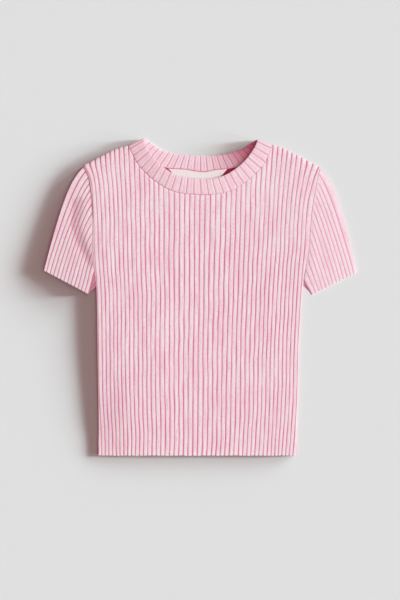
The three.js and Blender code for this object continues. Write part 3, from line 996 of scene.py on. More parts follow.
@dataclass
class FrontPanel(Panel):
    """The front, whose ribs lie over the back from fold to fold."""

    level: float = 4.9
    border: float = 1.9
    fold_ribs: float = 0.9
    crown: float = 1.0
    hem_fall: float = 1.4
    hem_fall_reach: float = 60.0
    crown_reach: float = 46.0
    neck_rise: float = 0.6
    neck_rise_reach: float = 55.0
    neck_side_reach: float = 30.0
    neck_fold_ease: float = 6.0
    side_fold_end: float = 251.0
    side_fold_ease: float = 16.0
    seam_gap: float = 0.2
    seam_dip: float = 0.6
    seam_reach: float = 3.0
    armhole_crown: float = 0.6
    armhole_roll: float = 1.1
    armhole_reach: float = 2.0
    armhole_crease: float = 0.8
    # painted shade in the cloth's colour at the lower left, which is no form
    hollow_shade: Dent = Dent(-128, 45, 26, 60, 0.11)
    ripple: float = 0.12
    ripple_across: float = 60.0
    ripple_along: float = 120.0
    hem_uneven: float = 0.35
    # the neck seam's dip fades towards the right
    dip_fade: float = 0.8
    dip_fade_from: float = 5.0
    dip_fade_ease: float = 40.0
    # the grooves are deeper near the shoulders; painted shade darkens the left ones' ends and the left
    # armhole's crease
    shoulder_reach: float = 26.0
    shoulder_from: float = 88.0
    shoulder_ease: float = 16.0
    shoulder_depth: float = 0.9
    ends_reach: float = 12.0
    ends_from: float = 84.0
    ends_ease: float = 20.0
    ends_painted_shade: float = 0.7
    crease_painted_shade: float = 0.9
    # the grooves' painted shade stays between two shares of their depth and pales towards the shoulders
    least_shown: float = 0.6
    most_shown: float = 1.2
    pale_share: float = 0.25
    pale_from: float = 230.0
    pale_climb: float = 130.0
    dents: tuple[Dent, ...] = (
        Dent(-122, 60, 26, 70, 0.55),
        Dent(-146, 40, 34, 80, 1.15),
        Dent(-152, 285, 12, 45, 0.8),
        Dent(-44, 290, 14, 26, 0.35, 0.5),
        Dent(-96, 20, 30, 40, 0.3),
        Dent(122, 150, 12, 90, 0.4),
        Dent(-70, 150, 26, 120, -0.3),
        Dent(40, 95, 34, 90, -0.25),
        Dent(-20, 255, 40, 60, 0.25),
        Dent(95, 300, 24, 60, -0.3),
        Dent(-112, 300, 18, 70, 0.3),
        Dent(-62, 345, 16, 30, 0.3, 0.3),
    )

    def surface(self) -> tuple[np.ndarray, ...]:
        """The smooth surface under the ribs.

        Returns:
            Grids of the points, the lines, the heights, the tops of the lines and how near each point is
            to the left armhole's crease.
        """
        line, height, x, top = self.lattice(CUT.front_seam, self.seam_gap)
        near_seam = eased(1.0 - (top - height) / self.neck_rise_reach)
        inside = (NECK_HALF + self.neck_fold_ease - np.abs(x)) / self.neck_side_reach
        level = self.level + self.neck_rise * near_seam * eased(inside)
        from_left = x - CUT.side(Side.LEFT, height)
        from_right = CUT.side(Side.RIGHT, height) - x
        slope = 1.0 - np.clip(np.minimum(from_left, from_right) / self.crown_reach, 0.0, 1.0)
        folded = 1.0 - eased((height - self.side_fold_end) / self.side_fold_ease)
        level = level - self.crown * slope**2 * (self.armhole_crown + (1.0 - self.armhole_crown) * folded)
        level = level - self.hem_fall * (1.0 - eased(height / self.hem_fall_reach))
        level = level + self.ripple * Unevenness(11, self.ripple_across, self.ripple_along)(x, height)
        for dent in self.dents:
            level = level - dent.drop(x, height)
        side_turn = 1.0 - quarter_turn(np.minimum(line, CUT.ribs - line) / self.fold_ribs) ** 0.5
        at_neck = eased((NECK_HALF + self.neck_fold_ease - np.abs(x)) / self.neck_fold_ease)
        up_the_fold = (height - (top - CUT.fold_reach)) / CUT.fold_reach
        turned = 1.0 - np.sqrt(1.0 - np.clip(up_the_fold, 0.0, 1.0) ** 2)
        share = (1.0 - folded * side_turn) * (1.0 - (1.0 - at_neck) * turned)
        seam_dip = self.seam_dip * at_neck * eased(1.0 - (top - height) / self.seam_reach)
        seam_dip *= 1.0 - self.dip_fade * eased((x - self.dip_fade_from) / self.dip_fade_ease)
        roll = self.armhole_roll * (1.0 - folded) * (1.0 - quarter_turn(from_left / self.armhole_reach))
        z = self.border + (level - self.border) * share - seam_dip - roll
        crease = (1.0 - folded) * np.exp(-((from_left / self.armhole_crease) ** 2))
        return np.stack([x, height, z], -1), line, height, top, crease

    def build(self, finish: bpy.types.Material) -> bpy.types.Object:
        """Knits the front.

        Args:
            finish: Its material.

        Returns:
            The piece.
        """
        base, line, height, top, crease = self.surface()
        normal = normals(base)
        lift = RIB.lift(line)
        full = self.rounded(height)
        x = base[..., 0]
        at_shoulder = eased(1.0 - (top - height) / self.shoulder_reach)
        at_shoulder *= eased((np.abs(x) - self.shoulder_from) / self.shoulder_ease)
        deep = RIB.uneven(line, height, 5, self.groove_uneven) * (1.0 + self.shoulder_depth * at_shoulder)
        raised = self.rib * (1.0 - (1.0 - lift) * deep)
        outer = base + normal * ((self.wall / 2 + raised) * full - self.wall / 2)[..., None]
        inner = base - normal * (self.wall / 2 * (1.0 + full))[..., None]
        inner[..., 2] = np.maximum(inner[..., 2], self.border)
        end = self.near_end(height)
        uneven = 1.0 + self.hem_uneven * Unevenness(3, 9.0, 1000.0)(line * RIB_WIDTH, 0.0)
        drawn_down = self.scallop * lift * end**2 * uneven
        outer[..., 1] -= drawn_down
        inner[..., 1] -= drawn_down
        cloth = Cloth()
        # painted shade: in the left armhole's crease, at the left grooves' ends by the shoulder and in the
        # hollow at the lower left
        left_ends_shade = eased(1.0 - (top - height) / self.ends_reach)
        left_ends_shade *= eased((-x - self.ends_from) / self.ends_ease)
        painted_shade = np.maximum(self.crease_painted_shade * crease, self.ends_painted_shade * left_ends_shade * (1.0 - lift))
        painted_shade = np.maximum(painted_shade, self.hollow_shade.drop(x, height))
        # the grooves' painted shade, by their depth
        paled = 1.0 - self.pale_share * eased((height - self.pale_from) / self.pale_climb)
        shown = 1.0 - (1.0 - lift) * np.clip(deep, self.least_shown, self.most_shown) * paled
        cloth.wall(cloth.grid(outer, line, height, shown, end, painted_shade), cloth.grid(inner, line, height, 0.7))
        piece = dress(cloth.build("front_knit"), finish, "rib_knit", "front_panel")
        return piece


@dataclass
class BackPanel(Panel):
    """The back, which lies flat under everything with its ribs down."""

    wall: float = 1.1
    seam_gap: float = 0.2
    groove_uneven: float = 0.15
    hem_share: float = 0.6
    side_run: float = 3.0
    # inside the neck painted shade darkens the cloth's colour, above a height and more towards the right
    shade_from: float = 375.0
    shade_climb: float = 20.0
    shade_left: float = 0.25
    shade_more: float = 0.7
    shade_turn: float = 5.0
    shade_ease: float = 25.0

    def build(self, finish: bpy.types.Material) -> bpy.types.Object:
        """Knits the back.

        Args:
            finish: Its material.

        Returns:
            The piece.
        """
        line, height, x, top = self.lattice(CUT.back_seam, self.seam_gap)
        lift = RIB.lift(line)
        sides = np.minimum(line, CUT.ribs - line) * self.side_run
        full = self.rounded(np.minimum(np.minimum(height, top - height), sides))
        deep = RIB.uneven(line, height, 6, self.groove_uneven)
        middle = self.rib + self.wall / 2
        below = middle - (self.wall / 2 + self.rib * (1.0 - (1.0 - lift) * deep)) * full
        above = middle + self.wall / 2 * full
        end = self.near_end(height)
        up = height - self.scallop * self.hem_share * lift * end**2
        cloth = Cloth()
        outer = cloth.grid(np.stack([x, up, np.maximum(below, 0.0)], -1), line, height, lift, end)
        # painted shade inside the neck, under the band's front half
        to_right = self.shade_left + self.shade_more * eased((x - self.shade_turn) / self.shade_ease)
        painted_shade = eased((height - self.shade_from) / self.shade_climb) * to_right
        inner = cloth.grid(np.stack([x, up, above], -1), line, height, 0.5, 0.0, painted_shade)
        cloth.wall(outer, inner, flip=True)
        piece = dress(cloth.build("back_knit"), finish, "rib_knit", "back_panel")
        return piece


def curved(start: np.ndarray, start_way: np.ndarray, end: np.ndarray, end_way: np.ndarray,
           share: np.ndarray) -> np.ndarray:
    """Points a share of the way along curves with a start, an end and a direction at each.

    Args:
        start: Where the curves start.
        start_way: Their directions there.
        end: Where they end.
        end_way: Their directions there.
        share: Shares from 0 to 1.

    Returns:
        The points.
    """
    t = share[..., None]
    return (
        (2 * t**3 - 3 * t**2 + 1) * start
        + (t**3 - 2 * t**2 + t) * start_way
        + (3 * t**2 - 2 * t**3) * end
        + (t**3 - t**2) * end_way
    )


@dataclass
class Sleeve:
    """A flattened sleeve: ribs over the top layer, round the underarm and back underneath."""

    side: Side
    cuff_outer: tuple[float, float]
    cuff_inner: tuple[float, float]
    armpit: float
    low_edge: float
    crease: tuple[tuple[float, float], ...]
    crease_depth: float
    crease_reach: float
    seam_dip: tuple[tuple[float, float], ...]
    cap_angles: tuple[tuple[float, float], ...]
    rib: float = 0.6
    slope: float = 1.3
    ribs: int = 13
    under_ribs: int = 3
    rows: int = 84
    length: float = 110.0
    wall: float = 1.2
    top_level: float = 4.3
    low_level: float = 1.35
    fold_ribs: float = 0.9
    fold_inset: float = 0.25
    edge: float = 1.5
    scallop: float = 0.7
    end_reach: float = 8.0
    end_pale: float = 0.8
    groove_uneven: float = 0.25
    # the last even row of the mesh, as a share of the length, and the rows from it to the cuff
    last_row: float = 0.955
    cuff_rows: tuple[float, ...] = (4.0, 2.6, 1.5, 0.8, 0.35, 0.08, 0.0)
    seam_reach: float = 30.0
    cuff_lift: float = 0.0
    lift_from: float = 0.3
    slope_bend: float = 1.5
    fade_reach: float = 8.0
    fade_from: float = 0.0
    fade_ease: float = 2.0
    seam_smooth: float = 0.85
    # painted shade along the seam's crease on the top layer, in the other crease and over the underarm
    seam_crease_shade: float = 0.0
    seam_crease_width: float = 1.7
    seam_crease_ribs: float = 7.5
    crease_painted_shade: float = 0.35
    deepest_crease: float = 2.0
    under_painted_shade: float = 0.4
    layer_gap: float = 0.15
    starts: tuple[tuple[float, float], ...] = ((0, 0), (3, 0.18), (6, 0.375), (13, 1))
    cap_pull: tuple[tuple[float, float], ...] = ((0, 0.54), (2, 0.42), (6, 0.38), (13, 0.5))
    cuff_pull: tuple[tuple[float, float], ...] = ((0, 0.99), (3, 0.85), (13, 0.9))
    cuff_angles: tuple[tuple[float, float], ...] = ((0, 75.5), (6, 74), (13, 71))

    @property
    def name(self) -> str:
        """The sleeve's name by its side."""
        return "left" if self.side is Side.LEFT else "right"

    def place(self, line: np.ndarray, share: np.ndarray, armhole: Line) -> np.ndarray:
        """Where rib lines are, a share of the way from the armhole to the cuff.

        Args:
            line: Lines, counted in ribs from the outer fold.
            share: Shares of the way.
            armhole: The seam that they start from.

        Returns:
            The points, as x and height.
        """
        start = armhole.at(Smooth(self.starts)(line))
        outer, inner = np.array(self.cuff_outer), np.array(self.cuff_inner)
        end = outer + (line / self.ribs)[..., None] * (inner - outer)
        long = np.hypot(*np.moveaxis(end - start, -1, 0))

        def way(angles: Sequence[tuple[float, float]], pull: Sequence[tuple[float, float]]) -> np.ndarray:
            """The direction of each line at one end, with its pull."""
            angle = np.radians(Smooth(angles)(line))
            heading = np.stack([self.side.value * np.cos(angle), -np.sin(angle)], -1)
            return heading * (Smooth(pull)(line) * long)[..., None]

        return curved(start, way(self.cap_angles, self.cap_pull), end,
                      way(self.cuff_angles, self.cuff_pull), share)

    def middle(self, place: np.ndarray, share: np.ndarray) -> tuple[np.ndarray, np.ndarray]:
        """The middle of the wall all round the tube.

        Args:
            place: Places round the tube in ribs: top layer, underarm, low layer.
            share: Shares of the way from the armhole to the cuff.

        Returns:
            The points, and how much painted shade darkens each.
        """
        under_end = self.ribs + self.under_ribs
        on_top = place <= self.ribs
        line = np.where(on_top, place, np.clip(under_end + self.ribs - place, 0.0, self.ribs))
        kept = quarter_turn(line / self.fold_ribs) ** 0.5
        inset = line + self.fold_inset * (1.0 - kept)
        top = self.place(inset, share, CUT.side_line(self.side, self.armpit))
        low = self.place(inset, share, CUT.side_line(self.side, self.low_edge))
        under = np.clip((place - self.ribs) / self.under_ribs, 0.0, 1.0)[..., None]
        below = np.where((place >= under_end)[..., None], low, top + (low - top) * under)
        flat = np.where(on_top[..., None], top, below)
        creased = np.exp(-((Line(self.crease).distance(top) / self.crease_reach) ** 2))
        dip = self.crease_depth * creased
        from_seam = share * self.length
        dip += Smooth(self.seam_dip)(line) * (1.0 - eased(from_seam / self.seam_reach))
        dip += self.slope * (1.0 - line / self.ribs) ** self.slope_bend
        dip = np.minimum(dip, self.top_level - self.low_level - self.wall - self.layer_gap)
        fold = (self.top_level + self.low_level) / 2
        top_z = fold + (self.top_level - dip - fold) * kept
        low_z = fold - (fold - self.low_level) * kept
        drop = under[..., 0]
        z = np.where(on_top, top_z, np.where(place >= under_end, low_z, top_z + (low_z - top_z) * drop))
        z = z + self.cuff_lift * eased((share - self.lift_from) / (1.0 - self.lift_from))
        # painted shade: along the seam, in the crease, and over the underarm strip
        seam = self.seam_crease_shade * np.exp(-((from_seam / self.seam_crease_width) ** 2))
        seam *= line < self.seam_crease_ribs
        crease_shade = self.crease_painted_shade * self.crease_depth / self.deepest_crease * creased
        painted_shade = np.where(on_top, np.maximum(seam, crease_shade), self.under_painted_shade * (place < under_end))
        return np.concatenate([flat, z[..., None]], -1), painted_shade

    def build(self, finish: bpy.types.Material) -> bpy.types.Object:
        """Knits the sleeve.

        Args:
            finish: Its material.

        Returns:
            The piece.
        """
        ribs = 2 * self.ribs + self.under_ribs
        places = RIB.columns(ribs)[:-1]
        cuff = 1.0 - np.array(self.cuff_rows) / self.length
        shares = np.concatenate([np.linspace(0.0, self.last_row, self.rows), cuff])
        place, share = np.meshgrid(places, shares)
        middle, painted_shade = self.middle(place, share)
        normal = normals(middle, closed=True) * self.side.value
        run = share * self.length
        faded = np.exp(-((run / self.fade_reach) ** 2)) * eased((place - self.fade_from) / self.fade_ease)
        faded *= self.seam_smooth * (place < self.ribs)
        lift = 1.0 - (1.0 - RIB.lift(place)) * (1.0 - faded)
        to_cuff = (1.0 - share) * self.length
        full = np.sqrt(1.0 - (1.0 - np.clip(to_cuff / self.edge, 0.0, 1.0)) ** 2)
        raised = self.rib * (1.0 - (1.0 - lift) * RIB.uneven(place, run, 8, self.groove_uneven))
        outer = middle + normal * ((self.wall / 2 + raised) * full)[..., None]
        inner = middle - normal * (self.wall / 2 * full)[..., None]
        outer[..., 2] = np.maximum(outer[..., 2], 0.0)
        end = np.clip(1.0 - to_cuff / self.end_reach, 0.0, 1.0)
        outer[..., 1] -= self.scallop * lift * end**2
        cloth = Cloth()
        outside = cloth.grid(outer, place, run, lift, end * self.end_pale, painted_shade)
        inside = cloth.grid(inner, place, run, 0.5)
        cloth.wall(outside, inside, closed=True, flip=self.side is Side.LEFT)
        piece = cloth.build(f"sleeve_{self.name}_knit")
        dress(piece, finish, "rib_knit", f"sleeve_{self.name}")
        return piece


@dataclass
class Neckband:
    """The neckband: a folded ring of rib, its front half on top and its back half under it."""

    front_ribs: int = 26
    back_ribs: int = 24
    # painted shade deepens the front half's colour at its left end, and the back half's towards its right
    # end
    front_shade: float = 0.15
    front_shade_reach: float = 0.35
    back_shade: float = 0.95
    back_shade_from: float = 0.45
    back_shade_ease: float = 0.5
    back_shade_bend: float = 1.2
    thick: float = 3.0
    halves_gap: float = 0.4
    rib: float = 0.5
    mid_rib: float = 0.2
    mid_width: float = 0.07
    seam_lift: float = 0.5
    edge_lift: float = 2.0
    stand: float = 1.2
    stand_at: float = 0.84
    stand_reach: float = 0.12
    width: float = 21.0
    turn_ribs: float = 1.0
    around: int = 26
    squareness: float = 0.6

    def spot(self, place: np.ndarray) -> tuple[np.ndarray, ...]:
        """Where places on the ring are.

        Args:
            place: Places round the ring in ribs, the front from left to right and then the back.

        Returns:
            How far each has turned from the shoulder fold, its share of the way from left to right, and
            the sign of its side.
        """
        front = place < self.front_ribs
        ribs = np.where(front, self.front_ribs, self.back_ribs)
        from_left = np.where(front, place, self.front_ribs + self.back_ribs - place)
        from_fold = np.minimum(from_left, ribs - from_left)
        turn = np.minimum(from_fold / self.turn_ribs, 1.0)
        slow = from_fold**2 / (2.0 * self.turn_ribs)
        walked = np.where(from_fold < self.turn_ribs, slow, from_fold - self.turn_ribs / 2)
        half = walked / (ribs - self.turn_ribs)
        left = from_left < ribs / 2
        return turn, np.where(left, half, 1.0 - half), np.where(left, -1.0, 1.0)

    def rings(self, places: np.ndarray, front: bool) -> tuple[np.ndarray, np.ndarray, np.ndarray]:
        """Points all round the band's section at each place.

        Args:
            places: Places round the ring in ribs, all on one half.
            front: Whether that is the front half.

        Returns:
            The points, how far across the band each is, and how far each is raised.
        """
        turn, share, side = self.spot(places)
        seam_rows, edge_rows = (CUT.front_seam, CUT.front_edge) if front else (CUT.back_seam, CUT.back_edge)
        seam = Line.through(seam_rows).at(share)
        edge = Line.through(edge_rows).at(share)
        fold_ends = np.where(side < 0, 0.0, 1.0)
        inward = Line.through(CUT.front_edge).at(fold_ends) - Line.through(CUT.front_seam).at(fold_ends)
        outward = np.stack([inward[:, 1], -inward[:, 0]], -1) * side[:, None]
        outward /= np.linalg.norm(outward, axis=1, keepdims=True)
        tilt = QUARTER * turn * (1.0 if front else -1.0)
        normal = np.concatenate([outward * np.cos(tilt)[:, None], np.sin(tilt)[:, None]], -1)
        back_z = self.thick / 2
        shoulder_z = back_z + self.thick + self.halves_gap
        fold_z = (back_z + shoulder_z) / 2
        arch = np.sin(math.pi * share)
        standing = self.stand * np.exp(-(((share - self.stand_at) / self.stand_reach) ** 2))
        within = places - np.floor(places)
        mid_groove = self.mid_rib * np.exp(-(((within - 0.5) / self.mid_width) ** 2)) / self.rib
        ribbed = BAND_RIB.lift(places) - mid_groove
        points, across_all, lifts = [], [], []
        for angle in np.linspace(0.0, 2.0 * math.pi, self.around, endpoint=False):
            cosine, sine = math.cos(angle), math.sin(angle)
            across = 0.5 - 0.5 * math.copysign(abs(cosine) ** self.squareness, cosine)
            facing = math.copysign(abs(sine) ** self.squareness, sine)
            lifted = self.seam_lift + (self.edge_lift - self.seam_lift) * across
            far_z = shoulder_z + arch * lifted + standing * across**2 if front else back_z
            z = fold_z + (far_z - fold_z) * np.abs(np.sin(tilt))
            flat = seam + (edge - seam) * across - outward * (self.thick / 2 * np.cos(tilt))[:, None]
            grooved = self.rib * (1.0 - ribbed) * abs(facing) ** 0.5
            depth = facing * self.thick / 2 - math.copysign(1.0, facing) * grooved
            points.append(np.concatenate([flat, np.broadcast_to(z, share.shape)[:, None]], -1)
                          + normal * depth[:, None])
            across_all.append(np.full(len(places), across))
            lifts.append(ribbed)
        return np.stack(points), np.stack(across_all), np.stack(lifts)

    def half(self, front: bool, finish: bpy.types.Material) -> bpy.types.Object:
        """Knits one half of the ring.

        Args:
            front: Whether it is the front half.
            finish: Its material.

        Returns:
            The piece.
        """
        ribs = self.front_ribs if front else self.back_ribs
        places = BAND_RIB.columns(ribs) + (0.0 if front else self.front_ribs)
        places[-1] -= 1e-6
        points, across, lift = self.rings(places, front)
        cloth = Cloth()
        along_half = self.spot(places)[1]
        # painted shade along each half
        if front:
            painted_shade = self.front_shade * (1.0 - eased(along_half / self.front_shade_reach))
        else:
            to_right = eased((along_half - self.back_shade_from) / self.back_shade_ease)
            painted_shade = self.back_shade * to_right**self.back_shade_bend
        around = np.broadcast_to(places, across.shape)
        ring = cloth.grid(points, around, across * self.width, lift, 0.0, painted_shade)
        cloth.skin(np.concatenate([ring, ring[:1]]))
        ends = cloth.grid(points[:, [0, -1]] * 0.5 + points[:, [0, -1]].mean(0, keepdims=True) * 0.5,
                          np.broadcast_to(places[[0, -1]], (self.around, 2)), 0.0, 0.5)
        for column, end in ((0, ring[:, 0]), (1, ring[:, -1])):
            strip = np.stack([end, ends[:, column]], -1)
            cloth.skin(np.concatenate([strip, strip[:1]]), flip=column == 0)
        name = "front" if front else "back"
        piece = cloth.build(f"neckband_{name}_knit")
        dress(piece, finish, "neckband_knit", "neckband")
        return piece


@dataclass
class NeckSeam:
    """The overlocked ridge that joins the band to a panel, a little uneven along its run."""

    name: str
    rows: tuple[tuple[float, float], ...]
    level: float
    arch: float
    radius: float = 0.75
    fade_from: float = 2.0
    fade_share: float = 0.75
    fade_ease: float = 0.2
    stitches: int = 170
    bead: float = 0.25
    uneven: float = 0.2
    wander: float = 0.15
    flatness: float = 0.8
    end_gap: float = 0.012
    around: int = 10

    def build(self, finish: bpy.types.Material) -> bpy.types.Object:
        """Sews the ridge.

        Args:
            finish: Its material.

        Returns:
            The piece.
        """
        share = np.linspace(self.end_gap, 1.0 - self.end_gap, self.stitches * 4)
        line = Line.through(self.rows)
        at = line.at(share)
        way = np.gradient(at, axis=0)
        way /= np.linalg.norm(way, axis=1, keepdims=True)
        aside = np.stack([-way[:, 1], way[:, 0]], -1)
        run = share * line.lengths[-1]
        bead = 1.0 - self.bead + self.bead * np.abs(np.sin(math.pi * share * self.stitches))
        thick = self.radius * bead * (1.0 + self.uneven * Unevenness(21, 14.0, 1.0)(run, 0.0))
        thick *= 1.0 - self.fade_share * eased((share - self.fade_from) / self.fade_ease)
        wander = self.wander * Unevenness(22, 25.0, 1.0)(run, 0.0)
        level = self.level + self.arch * np.sin(math.pi * share)
        rings = []
        for angle in np.linspace(0.0, 2.0 * math.pi, self.around, endpoint=False):
            flat = at + aside * (wander + thick * math.cos(angle))[:, None]
            above = level + thick * math.sin(angle) * self.flatness
            rings.append(np.concatenate([flat, above[:, None]], -1))
        cloth = Cloth()
        grid = cloth.grid(np.stack(rings), 0.0, run)
        cloth.skin(np.concatenate([grid, grid[:1]]), flip=True)
        return dress(cloth.build(self.name), finish, "neckband_knit")


@dataclass
class NeckLabel:
    """A bare strip of tape under the back of the band, its ends slanting in."""

    left: float = -45.0
    right: float = 38.0
    deep: float = 18.0
    slant: float = 0.8
    thick: float = 0.7
    low: float = 2.1
    columns: int = 60
    rows: int = 16
    wave: float = 0.25
    seam_gap: float = 0.4
    edge: float = 0.6
    edge_across: float = 60.0
    edge_down: float = 18.0
    least_full: float = 0.1

    def build(self, finish: bpy.types.Material) -> bpy.types.Object:
        """Weaves the label.

        Args:
            finish: Its material.

        Returns:
            The piece.
        """
        share, down = np.meshgrid(np.linspace(0.0, 1.0, self.columns), np.linspace(1.0, 0.0, self.rows))
        straight = self.left + (self.right - self.left) * share
        middle = (self.left + self.right) / 2
        narrowed = 1.0 - down * self.slant * self.deep / ((self.right - self.left) / 2)
        height = Smooth(CUT.back_seam)(straight) - self.seam_gap - down * self.deep
        x = middle + (straight - middle) * narrowed
        swell = self.wave * np.sin(math.pi * share) * np.sin(math.pi * down)
        from_end = np.minimum(share, 1.0 - share) * self.edge_across
        from_edge = np.minimum(from_end, np.minimum(down, 1.0 - down) * self.edge_down)
        rounded = np.sqrt(1.0 - (1.0 - np.clip(from_edge / self.edge, 0.0, 1.0)) ** 2)
        full = rounded * (1.0 - self.least_full) + self.least_full
        above = self.low + swell + self.thick / 2 * (1.0 + full)
        below = self.low + swell + self.thick / 2 * (1.0 - full)
        cloth = Cloth()
        outer = cloth.grid(np.stack([x, height, above], -1), x, height, 1.0)
        inner = cloth.grid(np.stack([x, height, below], -1), x, height, 1.0)
        cloth.wall(outer, inner)
        piece = dress(cloth.build("neck_label_tape"), finish, "label_cloth", "neck_label")
        return piece


@dataclass
class Studio:
    """The pale floor, the camera straight above and the soft lights from the right."""

    floor_size: float = 24.0
    floor_gap: float = 0.2
    floor_tone: tuple[int, int, int] = (224, 224, 224)
    pixel: float = 1.4
    frame_height: float = 600.0
    frame_middle: float = 300.0
    hem_pixel: float = 455.0
    lens: float = 100.0
    sensor: float = 36.0
    fill: tuple[float, float, float] = (0.3, 0.17, 0.16)
    backdrop: tuple[float, float, float] = (0.7, 0.7, 0.7)
    cloth_lights: tuple[tuple[float, float, float, float], ...] = (
        # direction round from +x, height above the floor, softness, share: in degrees but the last
        (10.0, 37.0, 22.0, 0.44),
        (6.0, 14.0, 10.0, 0.03),
        (0.0, 75.0, 60.0, 0.53),
    )
    inside_lights: tuple[tuple[float, float, float, float], ...] = (
        (8.0, 6.0, 7.0, 0.03),
        (8.0, 12.0, 10.0, 0.06),
        (10.0, 24.0, 16.0, 0.3),
        (0.0, 65.0, 50.0, 0.61),
    )
    low_lights: tuple[tuple[float, float, float, float], ...] = (
        (5.0, 5.4, 8.0, 0.4),
        (9.0, 8.0, 7.0, 0.12),
        (20.0, 5.0, 6.0, 0.14),
        (33.0, 4.7, 6.0, 0.12),
        (50.0, 4.8, 6.0, 0.06),
        (-14.0, 5.0, 7.0, 0.07),
        (0.0, 50.0, 40.0, 0.09),
    )

    def floor(self) -> bpy.types.Object:
        """Lays the floor.

        Returns:
            The floor.
        """
        bpy.ops.mesh.primitive_plane_add(size=self.floor_size, location=(0.0, 0.0, -self.floor_gap * MM))
        floor = bpy.context.object
        floor.name = "floor"
        graph = Graph("floor_paper")
        graph.shader.inputs["Base Color"].default_value = colour(*self.floor_tone)
        graph.shader.inputs["Roughness"].default_value = 0.95
        graph.shader.inputs["Specular IOR Level"].default_value = 0.0
        floor.data.materials.append(graph.material)
        return floor

    def camera(self) -> None:
        """Sets the camera straight above, square to the floor, with the garment where it is seen."""
        data = bpy.data.cameras.new("camera")
        data.sensor_fit = "VERTICAL"
        data.sensor_height = self.sensor
        data.lens = self.lens
        camera = bpy.data.objects.new("camera", data)
        seen = self.frame_height * self.pixel * MM
        middle = (self.hem_pixel - self.frame_middle) * self.pixel - LENGTH / 2
        camera.location = (0.0, middle * MM, seen * self.lens / self.sensor)
        bpy.context.scene.collection.objects.link(camera)
        bpy.context.scene.camera = camera

    def sun(self, name: str, light: tuple[float, float, float, float],
            lit: bpy.types.Collection) -> bpy.types.Object:
        """Hangs one soft light.

        Args:
            name: The light's name.
            light: Its direction round, its height, its softness and its share of the light.
            lit: What it shines on.

        Returns:
            The light.
        """
        around, above, softness, share = light
        data = bpy.data.lights.new(name, "SUN")
        key = [1.0 - part for part in self.fill]
        strongest = max(key)
        data.color = [part / strongest for part in key]
        data.energy = math.pi * strongest * share / math.sin(math.radians(above))
        data.angle = math.radians(softness)
        sun = bpy.data.objects.new(name, data)
        sun.rotation_euler = (0.0, math.radians(90.0 - above), math.radians(around))
        bpy.context.scene.collection.objects.link(sun)
        sun.light_linking.receiver_collection = lit
        return sun

    def world(self) -> None:
        """Fills the shade with soft light and shows a pale backdrop past the floor."""
        world = bpy.data.worlds.new("studio")
        world.use_nodes = True
        tree = world.node_tree
        fill = tree.nodes["Background"]
        fill.inputs["Color"].default_value = (*self.fill, 1.0)
        seen = tree.nodes.new("ShaderNodeBackground")
        seen.inputs["Color"].default_value = (*self.backdrop, 1.0)
        path = tree.nodes.new("ShaderNodeLightPath")
        mix = tree.nodes.new("ShaderNodeMixShader")
        tree.links.new(path.outputs["Is Camera Ray"], mix.inputs["Fac"])
        tree.links.new(fill.outputs[0], mix.inputs[1])
        tree.links.new(seen.outputs[0], mix.inputs[2])
        tree.links.new(mix.outputs[0], tree.nodes["World Output"].inputs["Surface"])
        bpy.context.scene.world = world

    def build(self, raised: Sequence[bpy.types.Object], inside: Sequence[bpy.types.Object],
              shadeless: bpy.types.Object) -> None:
        """Sets up the floor, the camera and the lights.

        Args:
            raised: The pieces on top.
            inside: The pieces down inside the neck.
            shadeless: The piece that casts no shadow on the floor.
        """
        casting = bpy.data.collections.new("casting")
        for piece in (*raised, *inside):
            if piece is not shadeless:
                casting.objects.link(piece)
        sets = (
            ("raised", raised, self.cloth_lights),
            ("inside", inside, self.inside_lights),
            ("floor", [self.floor()], self.low_lights),
        )
        for name, pieces, lights in sets:
            lit = bpy.data.collections.new(f"lit_{name}")
            for piece in pieces:
                lit.objects.link(piece)
            for number, light in enumerate(lights):
                sun = self.sun(f"{name}_light_{number}", light, lit)
                if name == "floor":
                    sun.light_linking.blocker_collection = casting
        self.world()
        self.camera()
        bpy.context.scene.view_settings.view_transform = "Standard"


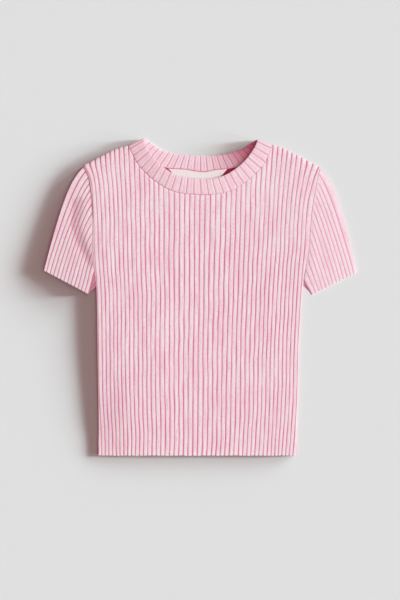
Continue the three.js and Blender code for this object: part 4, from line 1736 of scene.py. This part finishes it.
def main() -> None:
    """Builds the garment piece by piece and sets the studio round it."""
    logging.basicConfig(level=logging.INFO, format="%(message)s")
    body_knit = RibKnit("body_rib_knit").material()
    # the sleeves' finishes are a copy with painted shade on the left and a copy with painted light on the
    # right
    shaded_left_knit = RibKnit("left_sleeve_shaded_rib_knit", crest=(238, 214, 221), groove=(208, 100, 130),
                         groove_from=0.45, groove_to=0.96).material()
    lit_right_knit = RibKnit("right_sleeve_lit_rib_knit", crest=(248, 222, 230), pale=(252, 240, 243),
                         deep=(246, 198, 212), groove=(238, 152, 178), groove_from=0.45,
                         groove_to=0.97).material()
    band_knit = RibKnit("neckband_rib_knit", crest=(245, 211, 220), groove=(224, 138, 163),
                        wales=4, course=1.1, groove_from=0.3, groove_to=0.8, wale_line=0.2,
                        mottle=0.6).material()
    thread = SeamThread().material()
    left = Sleeve(
        side=Side.LEFT, cuff_outer=(-219.4, 259.0), cuff_inner=(-156.2, 225.8), armpit=258.0, low_edge=237.0,
        crease=((-172, 353), (-175, 322), (-169.5, 301), (-162.4, 287), (-154.5, 270)),
        crease_depth=2.0, crease_reach=7.0,
        seam_dip=((0, 0.6), (6, 0.9), (9, 0.5), (13, 0.3)),
        cap_angles=((0, 30), (1, 42), (3, 43), (5, 46), (7, 50), (9, 56), (11, 62), (13, 75)),
        top_level=5.0, seam_crease_shade=1.0, cuff_lift=0.5, fade_from=6.0, under_painted_shade=0.7, slope=1.9,
        cap_pull=((0, 0.54), (2, 0.42), (6, 0.5), (9, 0.75), (13, 0.8)),
    )
    right = Sleeve(
        side=Side.RIGHT, cuff_outer=(219.8, 256.2), cuff_inner=(156.1, 224.8), armpit=246.0, low_edge=238.0,
        crease=((163, 322), (168, 290), (172, 266)), crease_depth=0.35, crease_reach=7.0,
        seam_dip=((0, -0.5), (6, 0.1), (13, 0.4)),
        cap_angles=((0, 30), (1, 50), (2, 58), (4, 57), (6, 62), (9, 70), (11, 78), (13, 80)),
        rib=0.45, crease_painted_shade=0.0, under_painted_shade=0.45,
    )
    band = Neckband()
    raised = [
        FrontPanel().build(body_knit),
        left.build(shaded_left_knit),
        right.build(lit_right_knit),
        band.half(True, band_knit),
        NeckSeam("front_neck_seam", CUT.front_seam, 4.75, 0.5, 0.6, fade_from=0.5).build(thread),
    ]
    inside = [
        BackPanel().build(body_knit),
        band.half(False, band_knit),
        NeckLabel().build(LabelTape().material()),
        NeckSeam("back_neck_seam", CUT.back_seam, 2.3, 0.0).build(thread),
    ]
    for piece in raised + inside:
        log.info("%s: %d faces", piece.name, len(piece.data.polygons))
    Studio().build(raised, inside, raised[2])


if __name__ == "__main__":
    main()
